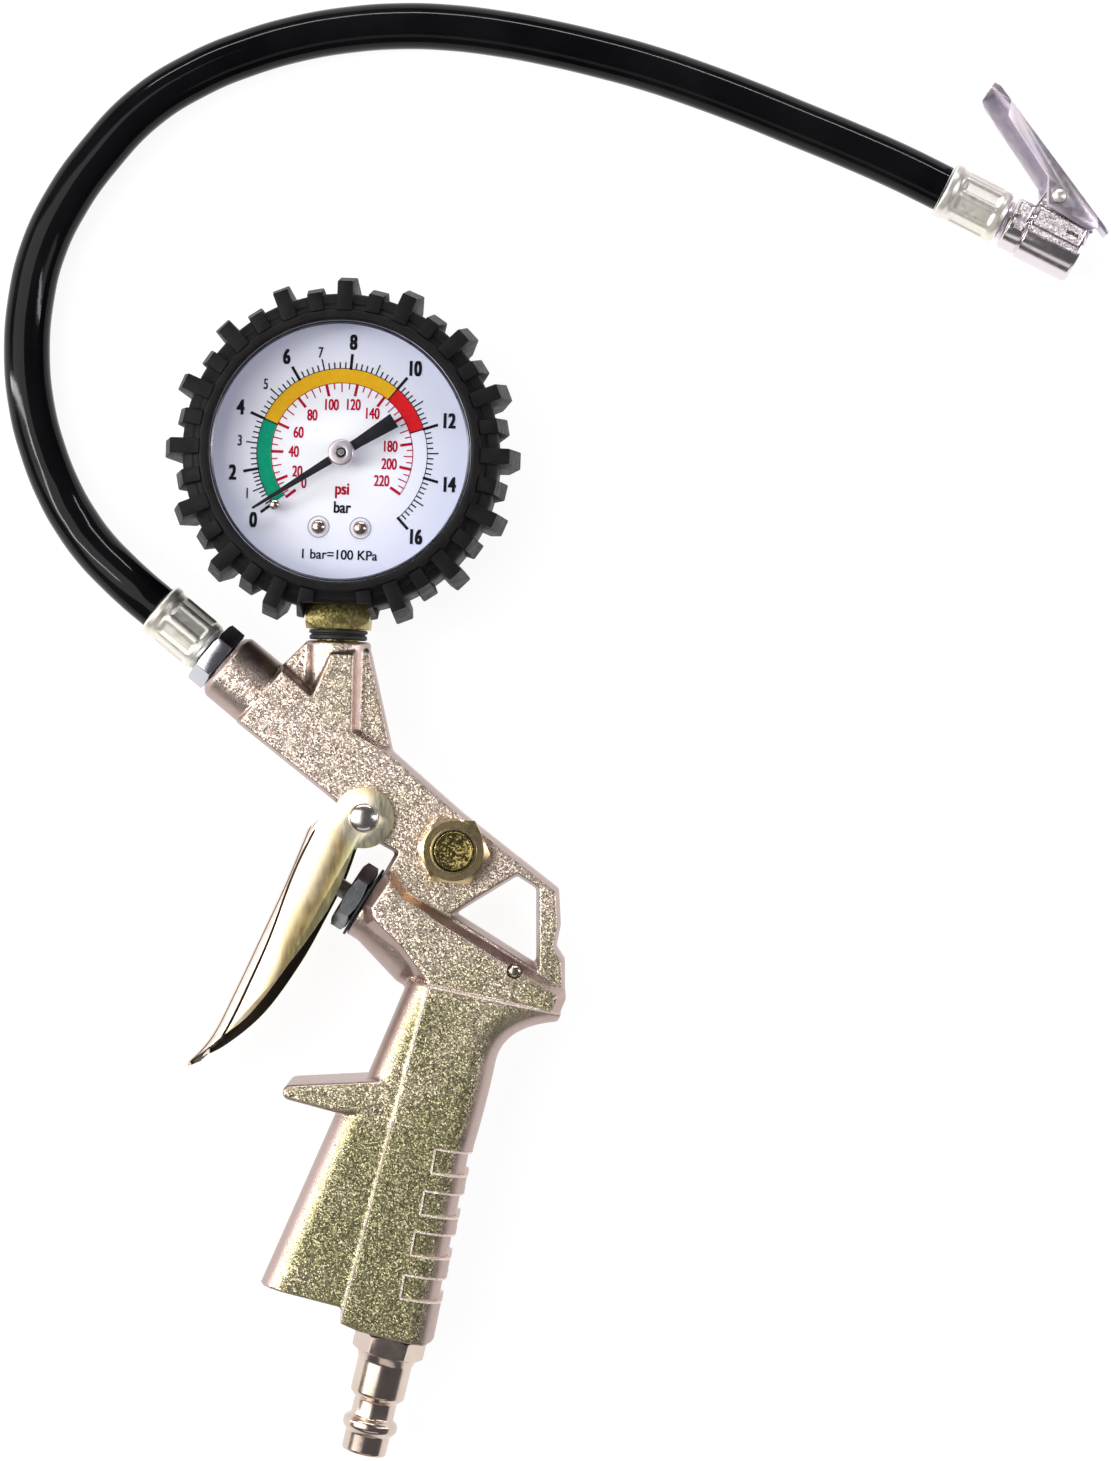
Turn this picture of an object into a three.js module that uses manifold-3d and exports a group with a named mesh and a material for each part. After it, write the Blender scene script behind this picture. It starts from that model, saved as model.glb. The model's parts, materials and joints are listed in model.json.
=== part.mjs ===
// Hand-held tyre inflator with a dial gauge: a die-cast gun with a squeeze trigger, a bottom-entry
// pressure gauge in a rubber boot, a short hose and a clip-on tyre valve chuck.
// Millimetres, +Z up. The tool lies on its side, so the plane of the gun is parallel to XY.

import * as THREE from 'three';
import { mergeVertices } from 'three/addons/utils/BufferGeometryUtils.js';
import Module from 'manifold-3d';

const wasm = await Module();
wasm.setup();

// ---------- driving dimensions ----------

const MID_PLANE = 12.5;                 // height of the gun's plane of symmetry
const GAP = 0.3;                        // clearance between neighbouring solids

const ARM_HALF = 8.0;                   // half thicknesses of the casting, from its mid-plane
const BREECH_HALF = 11.4;
const GRIP_HALF = 12.1;
const PANEL_HALF = 12.5;

const PIVOT = [0.1, 11.7];              // trigger pivot
const PIVOT_RADIUS = 2.0;
const BLEED = [20.0, 4.5];              // bleed valve centre
const BLEED_TURN = -5.4;                // how far its hexagon is screwed past the X axis
const HOSE_PORT = { at: [-31.2, 45.8], angle: 140 };
const VALVE_PORT = { at: [0.0, -7.4], angle: 148 };
const INLET_PORT = { at: [6.0, -102.7], angle: -103.5 };
const GAUGE_PORT = { at: [-6.0, 50.7], angle: 88 };
const AIRWAY_PLUG = [33.3, -21.9];

const ARM_WIDTH = 16.2;
const BARREL_RADIUS = 7.85;
const THROUGH = 20;                     // half height of a cut that goes right through the gun
const BOSS_RADIUS = 7.35;
const HEX_14 = 14;                      // across flats of the nuts
const HOSE_HEX = 12;

const SHEET = 1.4;                      // trigger sheet thickness
const EAR_INNER = 8.3;                  // inner face of each trigger ear, from the mid-plane
const EAR_RADIUS = 6.7;

const GAUGE_REACH = 41;                 // from the port face to the gauge's centre
const SOCKET_HALF = 7;                  // half width of the square on the gauge's socket
const DIAL_Z = 22.0;
const CASE_RADIUS = 32.2;
const BOOT_RADIUS = 34.4;
const WINDOW_RADIUS = 28.5;
const TALL_LUG_RADIUS = 39.2;
const SMALL_LUG_RADIUS = 35.9;
const LUG_PAIRS = 16;
const POINTER_ANGLE = 213.7;            // where the pointer rests, anticlockwise from 3 o'clock
const STOP_PIN = { radius: 18.5, angle: 219.7 };

const PINION_TEETH = 10;
const SECTOR_TEETH = 70;                // teeth on the sector's full circle
const MODULE = 0.4;
const SECTOR_PIVOT = [0, -16.15];
const TAIL_PIN = [8, -16.15];
const LINK_END = [16.4, -8.8];

const HOSE_RADIUS = 5.15;
const CHUCK = { at: [129.4, 152.0, 6.6], angle: -27 };
const LEVER_PIN = [9.5, 23.2];          // across and along the chuck's axis

// The hose's centre line, from the gun's ferrule to the chuck's ferrule, lying on the surface.
const HOSE_ROUTE = [
  [-45.98, 58.21, 12.5], [-50.4, 61.9, 12.3], [-55.4, 66.5, 11.2], [-60.0, 71.2, 9.6],
  [-64.2, 76.6, 7.7], [-68.6, 83.9, 6.0], [-72.7, 94.0, 5.3], [-75.2, 104.0, 5.2],
  [-76.2, 115.5, 5.2], [-75.3, 127.4, 5.2], [-72.6, 138.6, 5.2], [-67.3, 149.6, 5.2],
  [-60.2, 159.6, 5.2], [-49.7, 170.6, 5.2], [-37.6, 178.2, 5.2], [-26.2, 182.9, 5.2],
  [-15.0, 186.1, 5.2], [-3.8, 188.0, 5.2], [7.4, 188.8, 5.2], [18.0, 188.5, 5.2],
  [29.9, 187.1, 5.2], [41.2, 185.0, 5.2], [52.3, 182.4, 5.2], [63.5, 179.3, 5.2],
  [74.7, 175.5, 5.3], [86.0, 171.2, 5.5], [97.1, 166.6, 5.9], [108.3, 161.9, 6.3],
  [119.5, 156.9, 6.55], [129.13, 152.14, 6.6],
];

// ---------- finishes ----------

function finish(color, roughness, metalness) {
  return new THREE.MeshStandardMaterial({ color, roughness, metalness });
}

const CASTING = () => finish(0xcdb9a0, 0.42, 0.9);
const TRIGGER_ZINC = () => finish(0xe6d49a, 0.3, 1.0);
const DARK_STEEL = () => finish(0x4a4c52, 0.35, 1.0);
const NICKEL = () => finish(0xd6cfc8, 0.22, 1.0);
const BRASS = () => finish(0xa8925a, 0.35, 1.0);
const SPRING_STEEL = () => finish(0x9a9ca0, 0.3, 1.0);
const RUBBER = () => finish(0x2b2c30, 0.85, 0.0);
const SEAL_RUBBER = () => finish(0x141414, 0.8, 0.0);
const HOSE_PVC = () => finish(0x0a0a0b, 0.18, 0.0);
const BLACK_PAINT = () => finish(0x141416, 0.4, 0.2);
const DIAL_WHITE = () => finish(0xf2f2f8, 0.5, 0.0);
const CLEAR = () => finish(0xeef2f6, 0.05, 0.0);

// ---------- geometry helpers ----------

const TURN = Math.PI * 2;

function radians(degrees) {
  return degrees * Math.PI / 180;
}

function toSolid(geometry) {
  const bare = geometry.clone();
  bare.deleteAttribute('normal');
  bare.deleteAttribute('uv');
  const merged = mergeVertices(bare, 1e-4);
  const vertProperties = new Float32Array(merged.attributes.position.array);
  const triVerts = new Uint32Array(merged.index.array);
  return new wasm.Manifold(new wasm.Mesh({ numProp: 3, vertProperties, triVerts }));
}

function toGeometry(solid) {
  const mesh = solid.getMesh();
  const geometry = new THREE.BufferGeometry();
  geometry.setAttribute('position', new THREE.BufferAttribute(mesh.vertProperties, 3));
  geometry.setIndex(new THREE.BufferAttribute(mesh.triVerts, 1));
  return geometry;
}

function outline(points) {
  return new THREE.Shape(points.map(([x, y]) => new THREE.Vector2(x, y)));
}

function disc(radius, [x, y] = [0, 0]) {
  const shape = new THREE.Shape();
  shape.absarc(x, y, radius, 0, TURN);
  return shape;
}

function regularOutline(sides, radius) {
  const points = [];
  for (let side = 0; side < sides; side += 1) {
    const angle = side * TURN / sides;
    points.push([radius * Math.cos(angle), radius * Math.sin(angle)]);
  }
  return outline(points);
}

// A flat piece between two heights, with an optional edge break of the given inset and rise.
function slab(shape, low, high, { inset = 0, rise = inset, segments = 1, curveSegments = 12 } = {}) {
  const geometry = new THREE.ExtrudeGeometry(shape, {
    depth: high - low - 2 * rise,
    bevelEnabled: inset > 0,
    bevelThickness: rise,
    bevelSize: inset,
    bevelOffset: -inset,
    bevelSegments: segments,
    curveSegments,
  });
  geometry.translate(0, 0, low + rise);
  return toSolid(geometry);
}

function plate(shape, half, options) {
  return slab(shape, -half, half, options);
}

// A solid of revolution about local Z. The profile is a list of [radius, height] pairs that runs
// anticlockwise round the section, so that its faces point out.
function turned(profile, segments = 24) {
  const points = profile.map(([radius, height]) => new THREE.Vector2(radius, height));
  const geometry = new THREE.LatheGeometry(points, segments);
  geometry.rotateX(Math.PI / 2);
  return toSolid(geometry);
}

function rod(radius, low, high, segments = 20) {
  return turned([[0, low], [radius, low], [radius, high], [0, high]], segments);
}

function ring(inner, outer, low, high, segments = 24) {
  return turned([[inner, low], [outer, low], [outer, high], [inner, high], [inner, low]], segments);
}

function box(x0, x1, y0, y1, z0, z1) {
  const geometry = new THREE.BoxGeometry(x1 - x0, y1 - y0, z1 - z0);
  geometry.translate((x0 + x1) / 2, (y0 + y1) / 2, (z0 + z1) / 2);
  return toSolid(geometry);
}

// A coil spring about local Z.
function coil(radius, wire, low, high, turns) {
  const points = [];
  const steps = turns * 8;
  for (let step = 0; step <= steps; step += 1) {
    const angle = step / 8 * TURN;
    const height = low + wire + (high - low - 2 * wire) * step / steps;
    points.push(new THREE.Vector3(radius * Math.cos(angle), radius * Math.sin(angle), height));
  }
  const path = new THREE.CatmullRomCurve3(points);
  const section = regularOutline(5, wire);
  return toSolid(new THREE.ExtrudeGeometry(section, { steps, extrudePath: path }));
}

// Local Z lies in the XY plane at the given angle, local X is beside it and local Y points up.
function axisMatrix([x, y, z = 0], angle) {
  const turn = radians(angle);
  const side = new THREE.Vector3(-Math.sin(turn), Math.cos(turn), 0);
  const up = new THREE.Vector3(0, 0, 1);
  const ahead = new THREE.Vector3(Math.cos(turn), Math.sin(turn), 0);
  return new THREE.Matrix4().makeBasis(side, up, ahead).setPosition(x, y, z);
}

function placed(solid, { at, angle }) {
  return solid.transform(axisMatrix(at, angle).elements);
}

function axisFrame(parent, { at, angle }) {
  const frame = new THREE.Group();
  frame.applyMatrix4(axisMatrix(at, angle));
  parent.add(frame);
  return frame;
}

function addPart(parent, name, solid, material) {
  const mesh = new THREE.Mesh(toGeometry(solid), material);
  mesh.name = name;
  parent.add(mesh);
}

function hexNut(acrossFlats, low, high, chamfer) {
  const corner = acrossFlats / Math.sqrt(3);
  const crown = turned([
    [0, low], [corner - chamfer, low], [corner, low + chamfer * 0.5],
    [corner, high - chamfer * 0.5], [corner - chamfer, high], [0, high],
  ]);
  return slab(regularOutline(6, corner), low, high).intersect(crown);
}

// ---------- the gun's casting ----------

function armOutline() {
  const along = radians(HOSE_PORT.angle + 180);
  const [x, y] = HOSE_PORT.at;
  const start = 10.5;
  const corner = (across) => [
    x + start * Math.cos(along) - across * Math.sin(along),
    y + start * Math.sin(along) + across * Math.cos(along),
  ];
  return outline([
    corner(-ARM_WIDTH / 2), [-6.7, 15.4], [3.6, 5.7], [6.9, 3.9], [4.2, -0.8], [9, -10],
    [36, -26.6], [44.4, -26.6], [44.4, -19.9], [42.5, -16.9], [43.5, -12.0], [43.1, -4.3],
    [21.8, 12.5], [6.4, 26.1], [-1.8, 31.0], [-1.8, 47.0], [-4.2, 45.2], [-11.6, 39.7],
    corner(ARM_WIDTH / 2),
  ]);
}

function breechOutline() {
  return outline([
    [9.6, -4.6], [2.6, -19.2], [9.0, -25.9], [14.0, -29.0], [41.0, -33.3], [42.5, -33.2],
    [44.6, -28.2], [44.4, -26.0],
  ]);
}

function gripOutline(inset = 0) {
  const shape = new THREE.Shape();
  shape.moveTo(14.5, -14);
  shape.lineTo(9.0, -25.9);
  shape.lineTo(0.5, -45.8);
  shape.lineTo(-6.0, -52.9);
  shape.lineTo(-27.3, -101);
  shape.lineTo(12.8 - inset, -116);
  shape.lineTo(23.9 - inset, -62.1);
  shape.quadraticCurveTo(27.3 - inset, -51.0, 29.2 - inset, -41.6);
  shape.quadraticCurveTo(31.5 - inset, -33.2, 46 - inset, -33.2);
  shape.lineTo(56, -33.2);
  shape.lineTo(56, -14);
  return shape;
}

// Everything below the breech, cut square at the grip's foot.
const GRIP_CUT = [
  [-45, -22.6], [5.5, -22.6], [15.2, -25.2], [43.6, -31.5], [42.5, -33.6], [60, -60],
  [60, -92], [14.8, -103.7], [13.3, -104.3], [-0.9, -100.8], [-4.9, -99.0], [-4.7, -95.6],
  [-22.8, -90.9], [-45, -85],
];

// The raised panel behind the ridge that runs down the grip.
const PANEL_CUT = [
  [14.4, -25.0], [43.6, -31.5], [42.5, -33.6], [60, -60], [60, -92], [14.8, -103.7],
  [13.3, -104.3], [-0.9, -100.8], [-4.9, -99.0],
];

function gripGrooves() {
  const deep = plate(gripOutline(0.5), PANEL_HALF - 0.5, { inset: 5, segments: 2 });
  const tops = [[16, -60.8], [13.6, -69.9], [11.5, -78.8], [9.2, -88.3]];
  const blocks = tops.map(([x, y]) => {
    const corners = [[x, y], [x + 26, y - 4.4], [x + 24.8, y - 9.6], [x - 1.0, y - 5.2]];
    return plate(outline(corners), THROUGH);
  });
  return blocks.reduce((sum, block) => sum.add(block)).subtract(deep);
}

function grip() {
  const rounding = { inset: 5, segments: 2 };
  const front = plate(gripOutline(), GRIP_HALF, rounding).intersect(plate(outline(GRIP_CUT), THROUGH));
  const rear = plate(gripOutline(), PANEL_HALF, rounding).intersect(plate(outline(PANEL_CUT), THROUGH));
  return front.add(rear.subtract(gripGrooves()));
}

function fingerSpur() {
  const shape = new THREE.Shape();
  shape.moveTo(8.8, -45.6);
  shape.lineTo(-15.9, -46.8);
  shape.absarc(-15.9, -48.5, 1.7, Math.PI / 2, Math.PI * 1.4);
  shape.lineTo(-6.0, -52.9);
  shape.lineTo(6.9, -53.8);
  return plate(shape, GRIP_HALF, { inset: 0.8 });
}

function gaugeBoss() {
  const boss = placed(rod(BOSS_RADIUS, -20, 0, 32), GAUGE_PORT);
  const leftWeb = plate(outline([
    [-18.6, 45.2], [-17.4, 46.2], [-13.2, 50.3], [-10, 50.3], [-10, 40.2],
  ]), 3);
  const rightWeb = plate(outline([[1.2, 48.8], [-3, 48.8], [-3, 28], [6.2, 26.0]]), 4.5);
  return boss.add(leftWeb).add(rightWeb);
}

function barrels() {
  const hoseBarrel = turned([
    [0, -24], [ARM_WIDTH / 2, -24], [ARM_WIDTH / 2, -1.4], [6.8, 0], [0, 0],
  ]);
  const valveBarrel = turned([
    [0, -36], [BREECH_HALF - 0.4, -36], [BREECH_HALF - 0.4, -15], [BARREL_RADIUS, -3],
    [BARREL_RADIUS, 0], [0, 0],
  ]);
  const valveSide = outline([[-9, -18], [9, -30], [30, -36], [46, -27], [4.2, -0.8], [-2, 4]]);
  const valveCut = plate(valveSide, THROUGH);
  return placed(hoseBarrel, HOSE_PORT).add(placed(valveBarrel, VALVE_PORT).intersect(valveCut));
}

function passageBetween([x0, y0], [x1, y1], radius) {
  const length = Math.hypot(x1 - x0, y1 - y0);
  const angle = Math.atan2(y1 - y0, x1 - x0) * 180 / Math.PI;
  return placed(rod(radius, 0, length, 16), { at: [x0, y0], angle });
}

function valveAxisPoint(depth) {
  const turn = radians(VALVE_PORT.angle);
  return [VALVE_PORT.at[0] - depth * Math.cos(turn), VALVE_PORT.at[1] - depth * Math.sin(turn)];
}

function airways() {
  const hosePort = rod(4.95, -10.5, 1).add(rod(2.5, -63, 0, 16));
  const valvePort = rod(5.6, -12, 1).add(rod(5.0, -34.5, 0));
  const gaugePort = rod(5.05, -11.5, 1).add(rod(2.0, -27, 0, 16));
  const inletPort = rod(6.85, -11, 2).add(rod(4.0, -82, 0, 16));
  return [
    placed(hosePort, HOSE_PORT),
    placed(valvePort, VALVE_PORT),
    placed(gaugePort, GAUGE_PORT),
    placed(inletPort, INLET_PORT),
    rod(5.2, -4.5, ARM_HALF + 1).translate(BLEED[0], BLEED[1], 0),
    rod(8.5, ARM_HALF - GAP, ARM_HALF + 1).translate(BLEED[0], BLEED[1], 0),
    rod(1.6, 8.4, BREECH_HALF + 1, 16).translate(AIRWAY_PLUG[0], AIRWAY_PLUG[1], 0),
    passageBetween(BLEED, valveAxisPoint(10), 2.2),
  ];
}

function pivotHole() {
  return rod(PIVOT_RADIUS + 0.2, -THROUGH, THROUGH).translate(PIVOT[0], PIVOT[1], 0);
}

function gunBody() {
  const pivotLug = plate(disc(5.2, PIVOT), ARM_HALF);
  const openingShape = outline([[20.3, -9.6], [33.8, -1.4], [38.0, -4.1], [38.0, -20.8]]);
  const solids = [
    plate(armOutline(), ARM_HALF, { inset: 0.8 }),
    plate(breechOutline(), BREECH_HALF, { inset: 1.6, rise: 3.2 }),
    pivotLug,
    gaugeBoss(),
    barrels(),
    grip(),
    fingerSpur(),
  ];
  let body = solids.reduce((sum, solid) => sum.add(solid));
  body = body.subtract(plate(openingShape, THROUGH));
  body = body.subtract(pivotHole());
  for (const airway of airways()) {
    body = body.subtract(airway);
  }
  return body;
}

function addCasting(gun) {
  addPart(gun, 'gun_body', gunBody(), CASTING());
  const plug = rod(1.3, 8.8, BREECH_HALF + 0.2, 16).translate(AIRWAY_PLUG[0], AIRWAY_PLUG[1], 0);
  addPart(gun, 'airway_plug', plug, NICKEL());
}

// ---------- trigger ----------

const TRIGGER_FRONT = [[-13.1, 8.8], [-18.7, -2.3], [-24.9, -16.8], [-31.4, -33.0], [-38.9, -41.7]];
const TRIGGER_REAR = [
  [-38.3, -42.9], [-31.6, -39.6], [-22.9, -32.3], [-14.8, -21.2], [-9.3, -11.4], [-4.9, -2.8],
  [-2.2, 4.6],
];

// The upper cheek is trimmed narrower than the lower one, back to this line.
const UPPER_CHEEK_REAR = [
  [-38.0, -41.9], [-30.8, -36.2], [-25.8, -32.3], [-21.0, -26.7], [-16.4, -20.4], [-12.2, -14.9],
  [-6.0, -5.5], [-1.9, 4.9],
];

function triggerSide() {
  const shape = outline([...TRIGGER_FRONT, ...TRIGGER_REAR]);
  shape.absarc(PIVOT[0], PIVOT[1], EAR_RADIUS, radians(-100), radians(150));
  return shape;
}

// A pressed U-channel: a finger web between two side cheeks whose ears take the pivot pin.
function triggerLever() {
  const webShift = [1.3, -0.6];
  const inside = TRIGGER_FRONT.map(([x, y]) => [x + webShift[0], y + webShift[1]]);
  inside.push([-20, -70], [60, -20], [60, 60], [inside[0][0], 60]);
  const trimmed = outline([...UPPER_CHEEK_REAR, [1, 4.0], [20, -20], [-30, -60]]);
  return plate(triggerSide(), EAR_INNER + SHEET)
    .subtract(plate(outline(inside), EAR_INNER))
    .subtract(slab(trimmed, EAR_INNER - 0.1, THROUGH))
    .subtract(pivotHole());
}

function triggerPin() {
  const head = EAR_INNER + SHEET + 0.2;
  const profile = [
    [0, -head - 1.3], [1.6, -head - 1.1], [2.9, -head], [PIVOT_RADIUS, -head],
    [PIVOT_RADIUS, head], [2.9, head], [1.6, head + 1.1], [0, head + 1.3],
  ];
  return turned(profile, 24).translate(PIVOT[0], PIVOT[1], 0);
}

function addTrigger(gun) {
  addPart(gun, 'trigger_lever', triggerLever(), TRIGGER_ZINC());
  addPart(gun, 'trigger_pin', triggerPin(), NICKEL());
}

// ---------- air valve, on an axis that points out towards the trigger ----------

function glandNut() {
  const hex = hexNut(HEX_14, 0.9, 4.6, 1.0);
  const thread = rod(5.3, -11, 1.2);
  const sealPocket = rod(3.9, -12, -8);
  return hex.add(thread).subtract(rod(2.3, -20, 20)).subtract(sealPocket);
}

function addAirValve(gun) {
  const valve = axisFrame(gun, VALVE_PORT);
  const pushRod = turned([[0, -16.0], [2, -16.0], [2, 13.6], [1.5, 14.9], [0, 15.4]], 20);
  const seat = ring(2.9, 4.7, -15.9, -12.3);
  const rubberFace = turned([[0, -19.6], [2.2, -19.6], [4.2, -18.6], [4.2, -16.3], [0, -16.3]], 28);
  addPart(valve, 'gland_nut', glandNut(), DARK_STEEL());
  addPart(valve, 'gland_washer', ring(5.65, 8.3, 0.15, 0.6), SEAL_RUBBER());
  addPart(valve, 'rod_seal', ring(2.35, 3.6, -9.9, -8.3, 20), SEAL_RUBBER());
  addPart(valve, 'push_rod', pushRod, NICKEL());
  addPart(valve, 'valve_seat', seat, BRASS());
  addPart(valve, 'valve_disc', rubberFace, SEAL_RUBBER());
  addPart(valve, 'valve_spring', coil(3.4, 0.45, -33.9, -19.9, 5), SPRING_STEEL());
}

// ---------- press-to-deflate bleed valve ----------

function bleedNut() {
  const hex = hexNut(HEX_14, ARM_HALF, ARM_HALF + 4, 1.1).rotate(0, 0, BLEED_TURN);
  const rim = rod(5.3, ARM_HALF + 3, ARM_HALF + 4.8, 32);
  const thread = rod(4.9, -0.2, ARM_HALF + 1);
  const pocket = turned([
    [0, -2], [1.9, -2], [1.9, 4], [3.4, 4], [3.4, 9.3], [4.7, 9.3], [4.7, 20], [0, 20],
  ]);
  return hex.add(rim).add(thread).subtract(pocket);
}

function bleedButton() {
  return turned([
    [0, -2.4], [1.5, -2.4], [1.5, 11.6], [4.4, 11.6], [4.4, 13.1], [3.8, 13.1], [2.8, 12.6],
    [0, 12.4],
  ], 28);
}

function addBleedValve(gun) {
  const bleed = new THREE.Group();
  bleed.position.set(BLEED[0], BLEED[1], 0);
  gun.add(bleed);
  addPart(bleed, 'bleed_nut', bleedNut(), BRASS());
  addPart(bleed, 'bleed_button', bleedButton(), BRASS());
  addPart(bleed, 'bleed_spring', coil(2.5, 0.35, 4.3, 11.3, 5), SPRING_STEEL());
  addPart(bleed, 'bleed_seal', ring(1.6, 3.2, -2.0, -0.5, 20), SEAL_RUBBER());
}

// ---------- air inlet ----------

function inletPlug() {
  const hex = hexNut(HEX_14, 0.6, 5.1, 1.1);
  const body = turned([
    [0, -10.4], [6.5, -10.4], [6.5, 0], [6.5, 1.0], [6.1, 1.0], [6.1, 14.4], [5.0, 15.3],
    [4.8, 19.3], [6.1, 20.0], [6.1, 22.0], [5.1, 22.8], [5.0, 27.4], [0, 27.4],
  ]);
  return hex.add(body).subtract(rod(2.8, -20, 40));
}

function addInlet(gun) {
  const inlet = axisFrame(gun, INLET_PORT);
  addPart(inlet, 'inlet_plug', inletPlug(), NICKEL());
}

// ---------- gauge, in its own frame: centre at the dial's centre, stem towards -Y ----------

function gaugeBoot() {
  const shell = turned([
    [14, 0], [33.2, 0], [BOOT_RADIUS, 1.4], [BOOT_RADIUS, 30.4], [33.0, 32.5],
    [WINDOW_RADIUS + 0.4, 32.5], [WINDOW_RADIUS, 31.9], [WINDOW_RADIUS, 30.3], [32.5, 30.3],
    [32.5, 1.9], [14, 1.9], [14, 0],
  ], 48);
  let boot = shell;
  for (let pair = 0; pair < LUG_PAIRS; pair += 1) {
    const angle = pair * 360 / LUG_PAIRS;
    const overStem = pair === LUG_PAIRS / 2;
    if (!overStem) {
      boot = boot.add(lug(TALL_LUG_RADIUS, 3.3, 2.5, 27.5).rotate(0, 0, -angle));
    }
    boot = boot.add(lug(SMALL_LUG_RADIUS, 2.8, 5, 29.5).rotate(0, 0, -angle - 180 / LUG_PAIRS));
  }
  const opening = SOCKET_HALF + 0.4;
  const stemHole = box(-opening, opening, -opening, opening, -2, 20);
  return boot.subtract(placed(stemHole, { at: [0, -30, MID_PLANE], angle: -90 }));
}

// One tread lug at 12 o'clock. It reaches furthest at half height and slopes back above and below.
function lug(reach, width, low, high) {
  const root = BOOT_RADIUS - 0.8;
  const slope = (reach - BOOT_RADIUS) * 0.5;
  const profile = outline([
    [root, low], [reach - slope, low + 1], [reach, (low + high) / 2], [reach - slope, high - 0.5],
    [root - 0.6, high + 1.8],
  ]);
  const side = slab(profile, -width / 2, width / 2);
  const upright = new THREE.Matrix4().makeBasis(
    new THREE.Vector3(0, 1, 0), new THREE.Vector3(0, 0, 1), new THREE.Vector3(1, 0, 0),
  );
  return side.transform(upright.elements);
}

function gaugeCase() {
  const cup = turned([
    [0, 2.2], [CASE_RADIUS, 2.2], [CASE_RADIUS, 29.9], [CASE_RADIUS - 1, 29.9],
    [CASE_RADIUS - 1, 3.2], [0, 3.2],
  ], 40);
  const stemHole = rod(7.2, -2, 20, 24);
  return cup.subtract(placed(stemHole, { at: [0, -26, MID_PLANE], angle: -90 }));
}

function gaugeSocket() {
  const crown = turned([[0, 34.7], [10, 34.7], [10, 36.4], [6.9, 38.3], [0, 38.3]], 40);
  const square = box(-SOCKET_HALF, SOCKET_HALF, -SOCKET_HALF, SOCKET_HALF, 34.7, 38.3).intersect(crown);
  const neck = rod(6.4, 27, 35);
  const thread = rod(4.7, 37, 51.5);
  const block = box(-6.5, 6.5, -6.5, 6.5, 21.5, 28);
  return square.add(neck).add(thread).add(block).subtract(rod(2, 25, 60, 16));
}

function bourdonTube() {
  const shape = new THREE.Shape();
  const start = radians(251);
  const end = radians(-18);
  shape.absarc(0, 0, 22.6, start, end, true);
  shape.absarc(0, 0, 20.2, end, start, false);
  return slab(shape, 7.5, 17.5, { curveSegments: 20 });
}

function tubeEndCap() {
  const shape = new THREE.Shape();
  shape.absarc(0, 0, 22.6, radians(-19), radians(-27), true);
  shape.absarc(0, 0, 20.2, radians(-27), radians(-19), false);
  const cap = slab(shape, 7.5, 17.5, { curveSegments: 3 });
  const lugShape = new THREE.Shape();
  lugShape.absarc(0, 0, 20.6, radians(-22), radians(-26), true);
  lugShape.lineTo(LINK_END[0] - 0.6, LINK_END[1] - 0.5);
  lugShape.lineTo(LINK_END[0] + 0.4, LINK_END[1] + 1.3);
  return cap.add(slab(lugShape, 13.1, 14.3, { curveSegments: 3 }));
}

const MOVEMENT_PLATE = [
  [-4.4, -20.6], [10, -20.6], [10, -13], [8.2, 7.4], [3, 7.4], [-3.4, 3.4], [-4, -6], [-9.0, -12.8],
  [-9.0, -15.6],
];
const PILLARS = [[-7.2, -14.6], [5.8, 5.0]];
const DIAL_SCREWS = [[-4.6, -16.2], [4.6, -16.2]];

function movementPlate(low, high, holes) {
  let solid = slab(outline(MOVEMENT_PLATE), low, high);
  for (const [x, y, radius] of holes) {
    solid = solid.subtract(rod(radius, low - 1, high + 1, 16).translate(x, y, 0));
  }
  return solid;
}

// Teeth on an arc of the given pitch radius, as one outline that starts and ends at the root circle.
function toothedArc(pitchRadius, firstTooth, toothPitch, count) {
  const root = pitchRadius - 0.5;
  const tip = pitchRadius + 0.35;
  const points = [];
  for (let tooth = 0; tooth < count; tooth += 1) {
    const centre = firstTooth + tooth * toothPitch;
    const foot = 0.3 / root;
    const crest = 0.12 / tip;
    points.push([root, centre - foot], [tip, centre - crest]);
    points.push([tip, centre + crest], [root, centre + foot]);
  }
  return points.map(([radius, angle]) => [radius * Math.cos(angle), radius * Math.sin(angle)]);
}

function pinionShaft() {
  const pitch = TURN / PINION_TEETH;
  const teeth = toothedArc(PINION_TEETH * MODULE / 2, -TURN / 4, pitch, PINION_TEETH);
  return slab(outline(teeth), 12.2, 15.6).add(rod(0.75, 7.4, 27.4, 16));
}

function sectorGear() {
  const pitch = TURN / SECTOR_TEETH;
  const teeth = toothedArc(SECTOR_TEETH * MODULE / 2, TURN / 4 - 8.5 * pitch, pitch, 10);
  const shape = outline([...teeth, [-1.6, 11.6], [-1.2, 2], [-2.2, 0], [0, -2.2], [2, -1.4], [2.2, 1.4],
    [8.0, 9.6]]);
  const tail = slab(outline([[0, -1.6], [8, -1.6], [9.6, 0], [8, 1.6], [0, 1.6]]), 13.2, 14.4);
  const tailPin = rod(0.6, 11.4, 13.4, 12).translate(TAIL_PIN[0] - SECTOR_PIVOT[0], 0, 0);
  const arbor = rod(0.7, 7.4, 21.9, 12);
  return slab(shape, 13.2, 14.4).add(tail).add(tailPin).add(arbor).translate(...SECTOR_PIVOT, 0);
}

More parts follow.
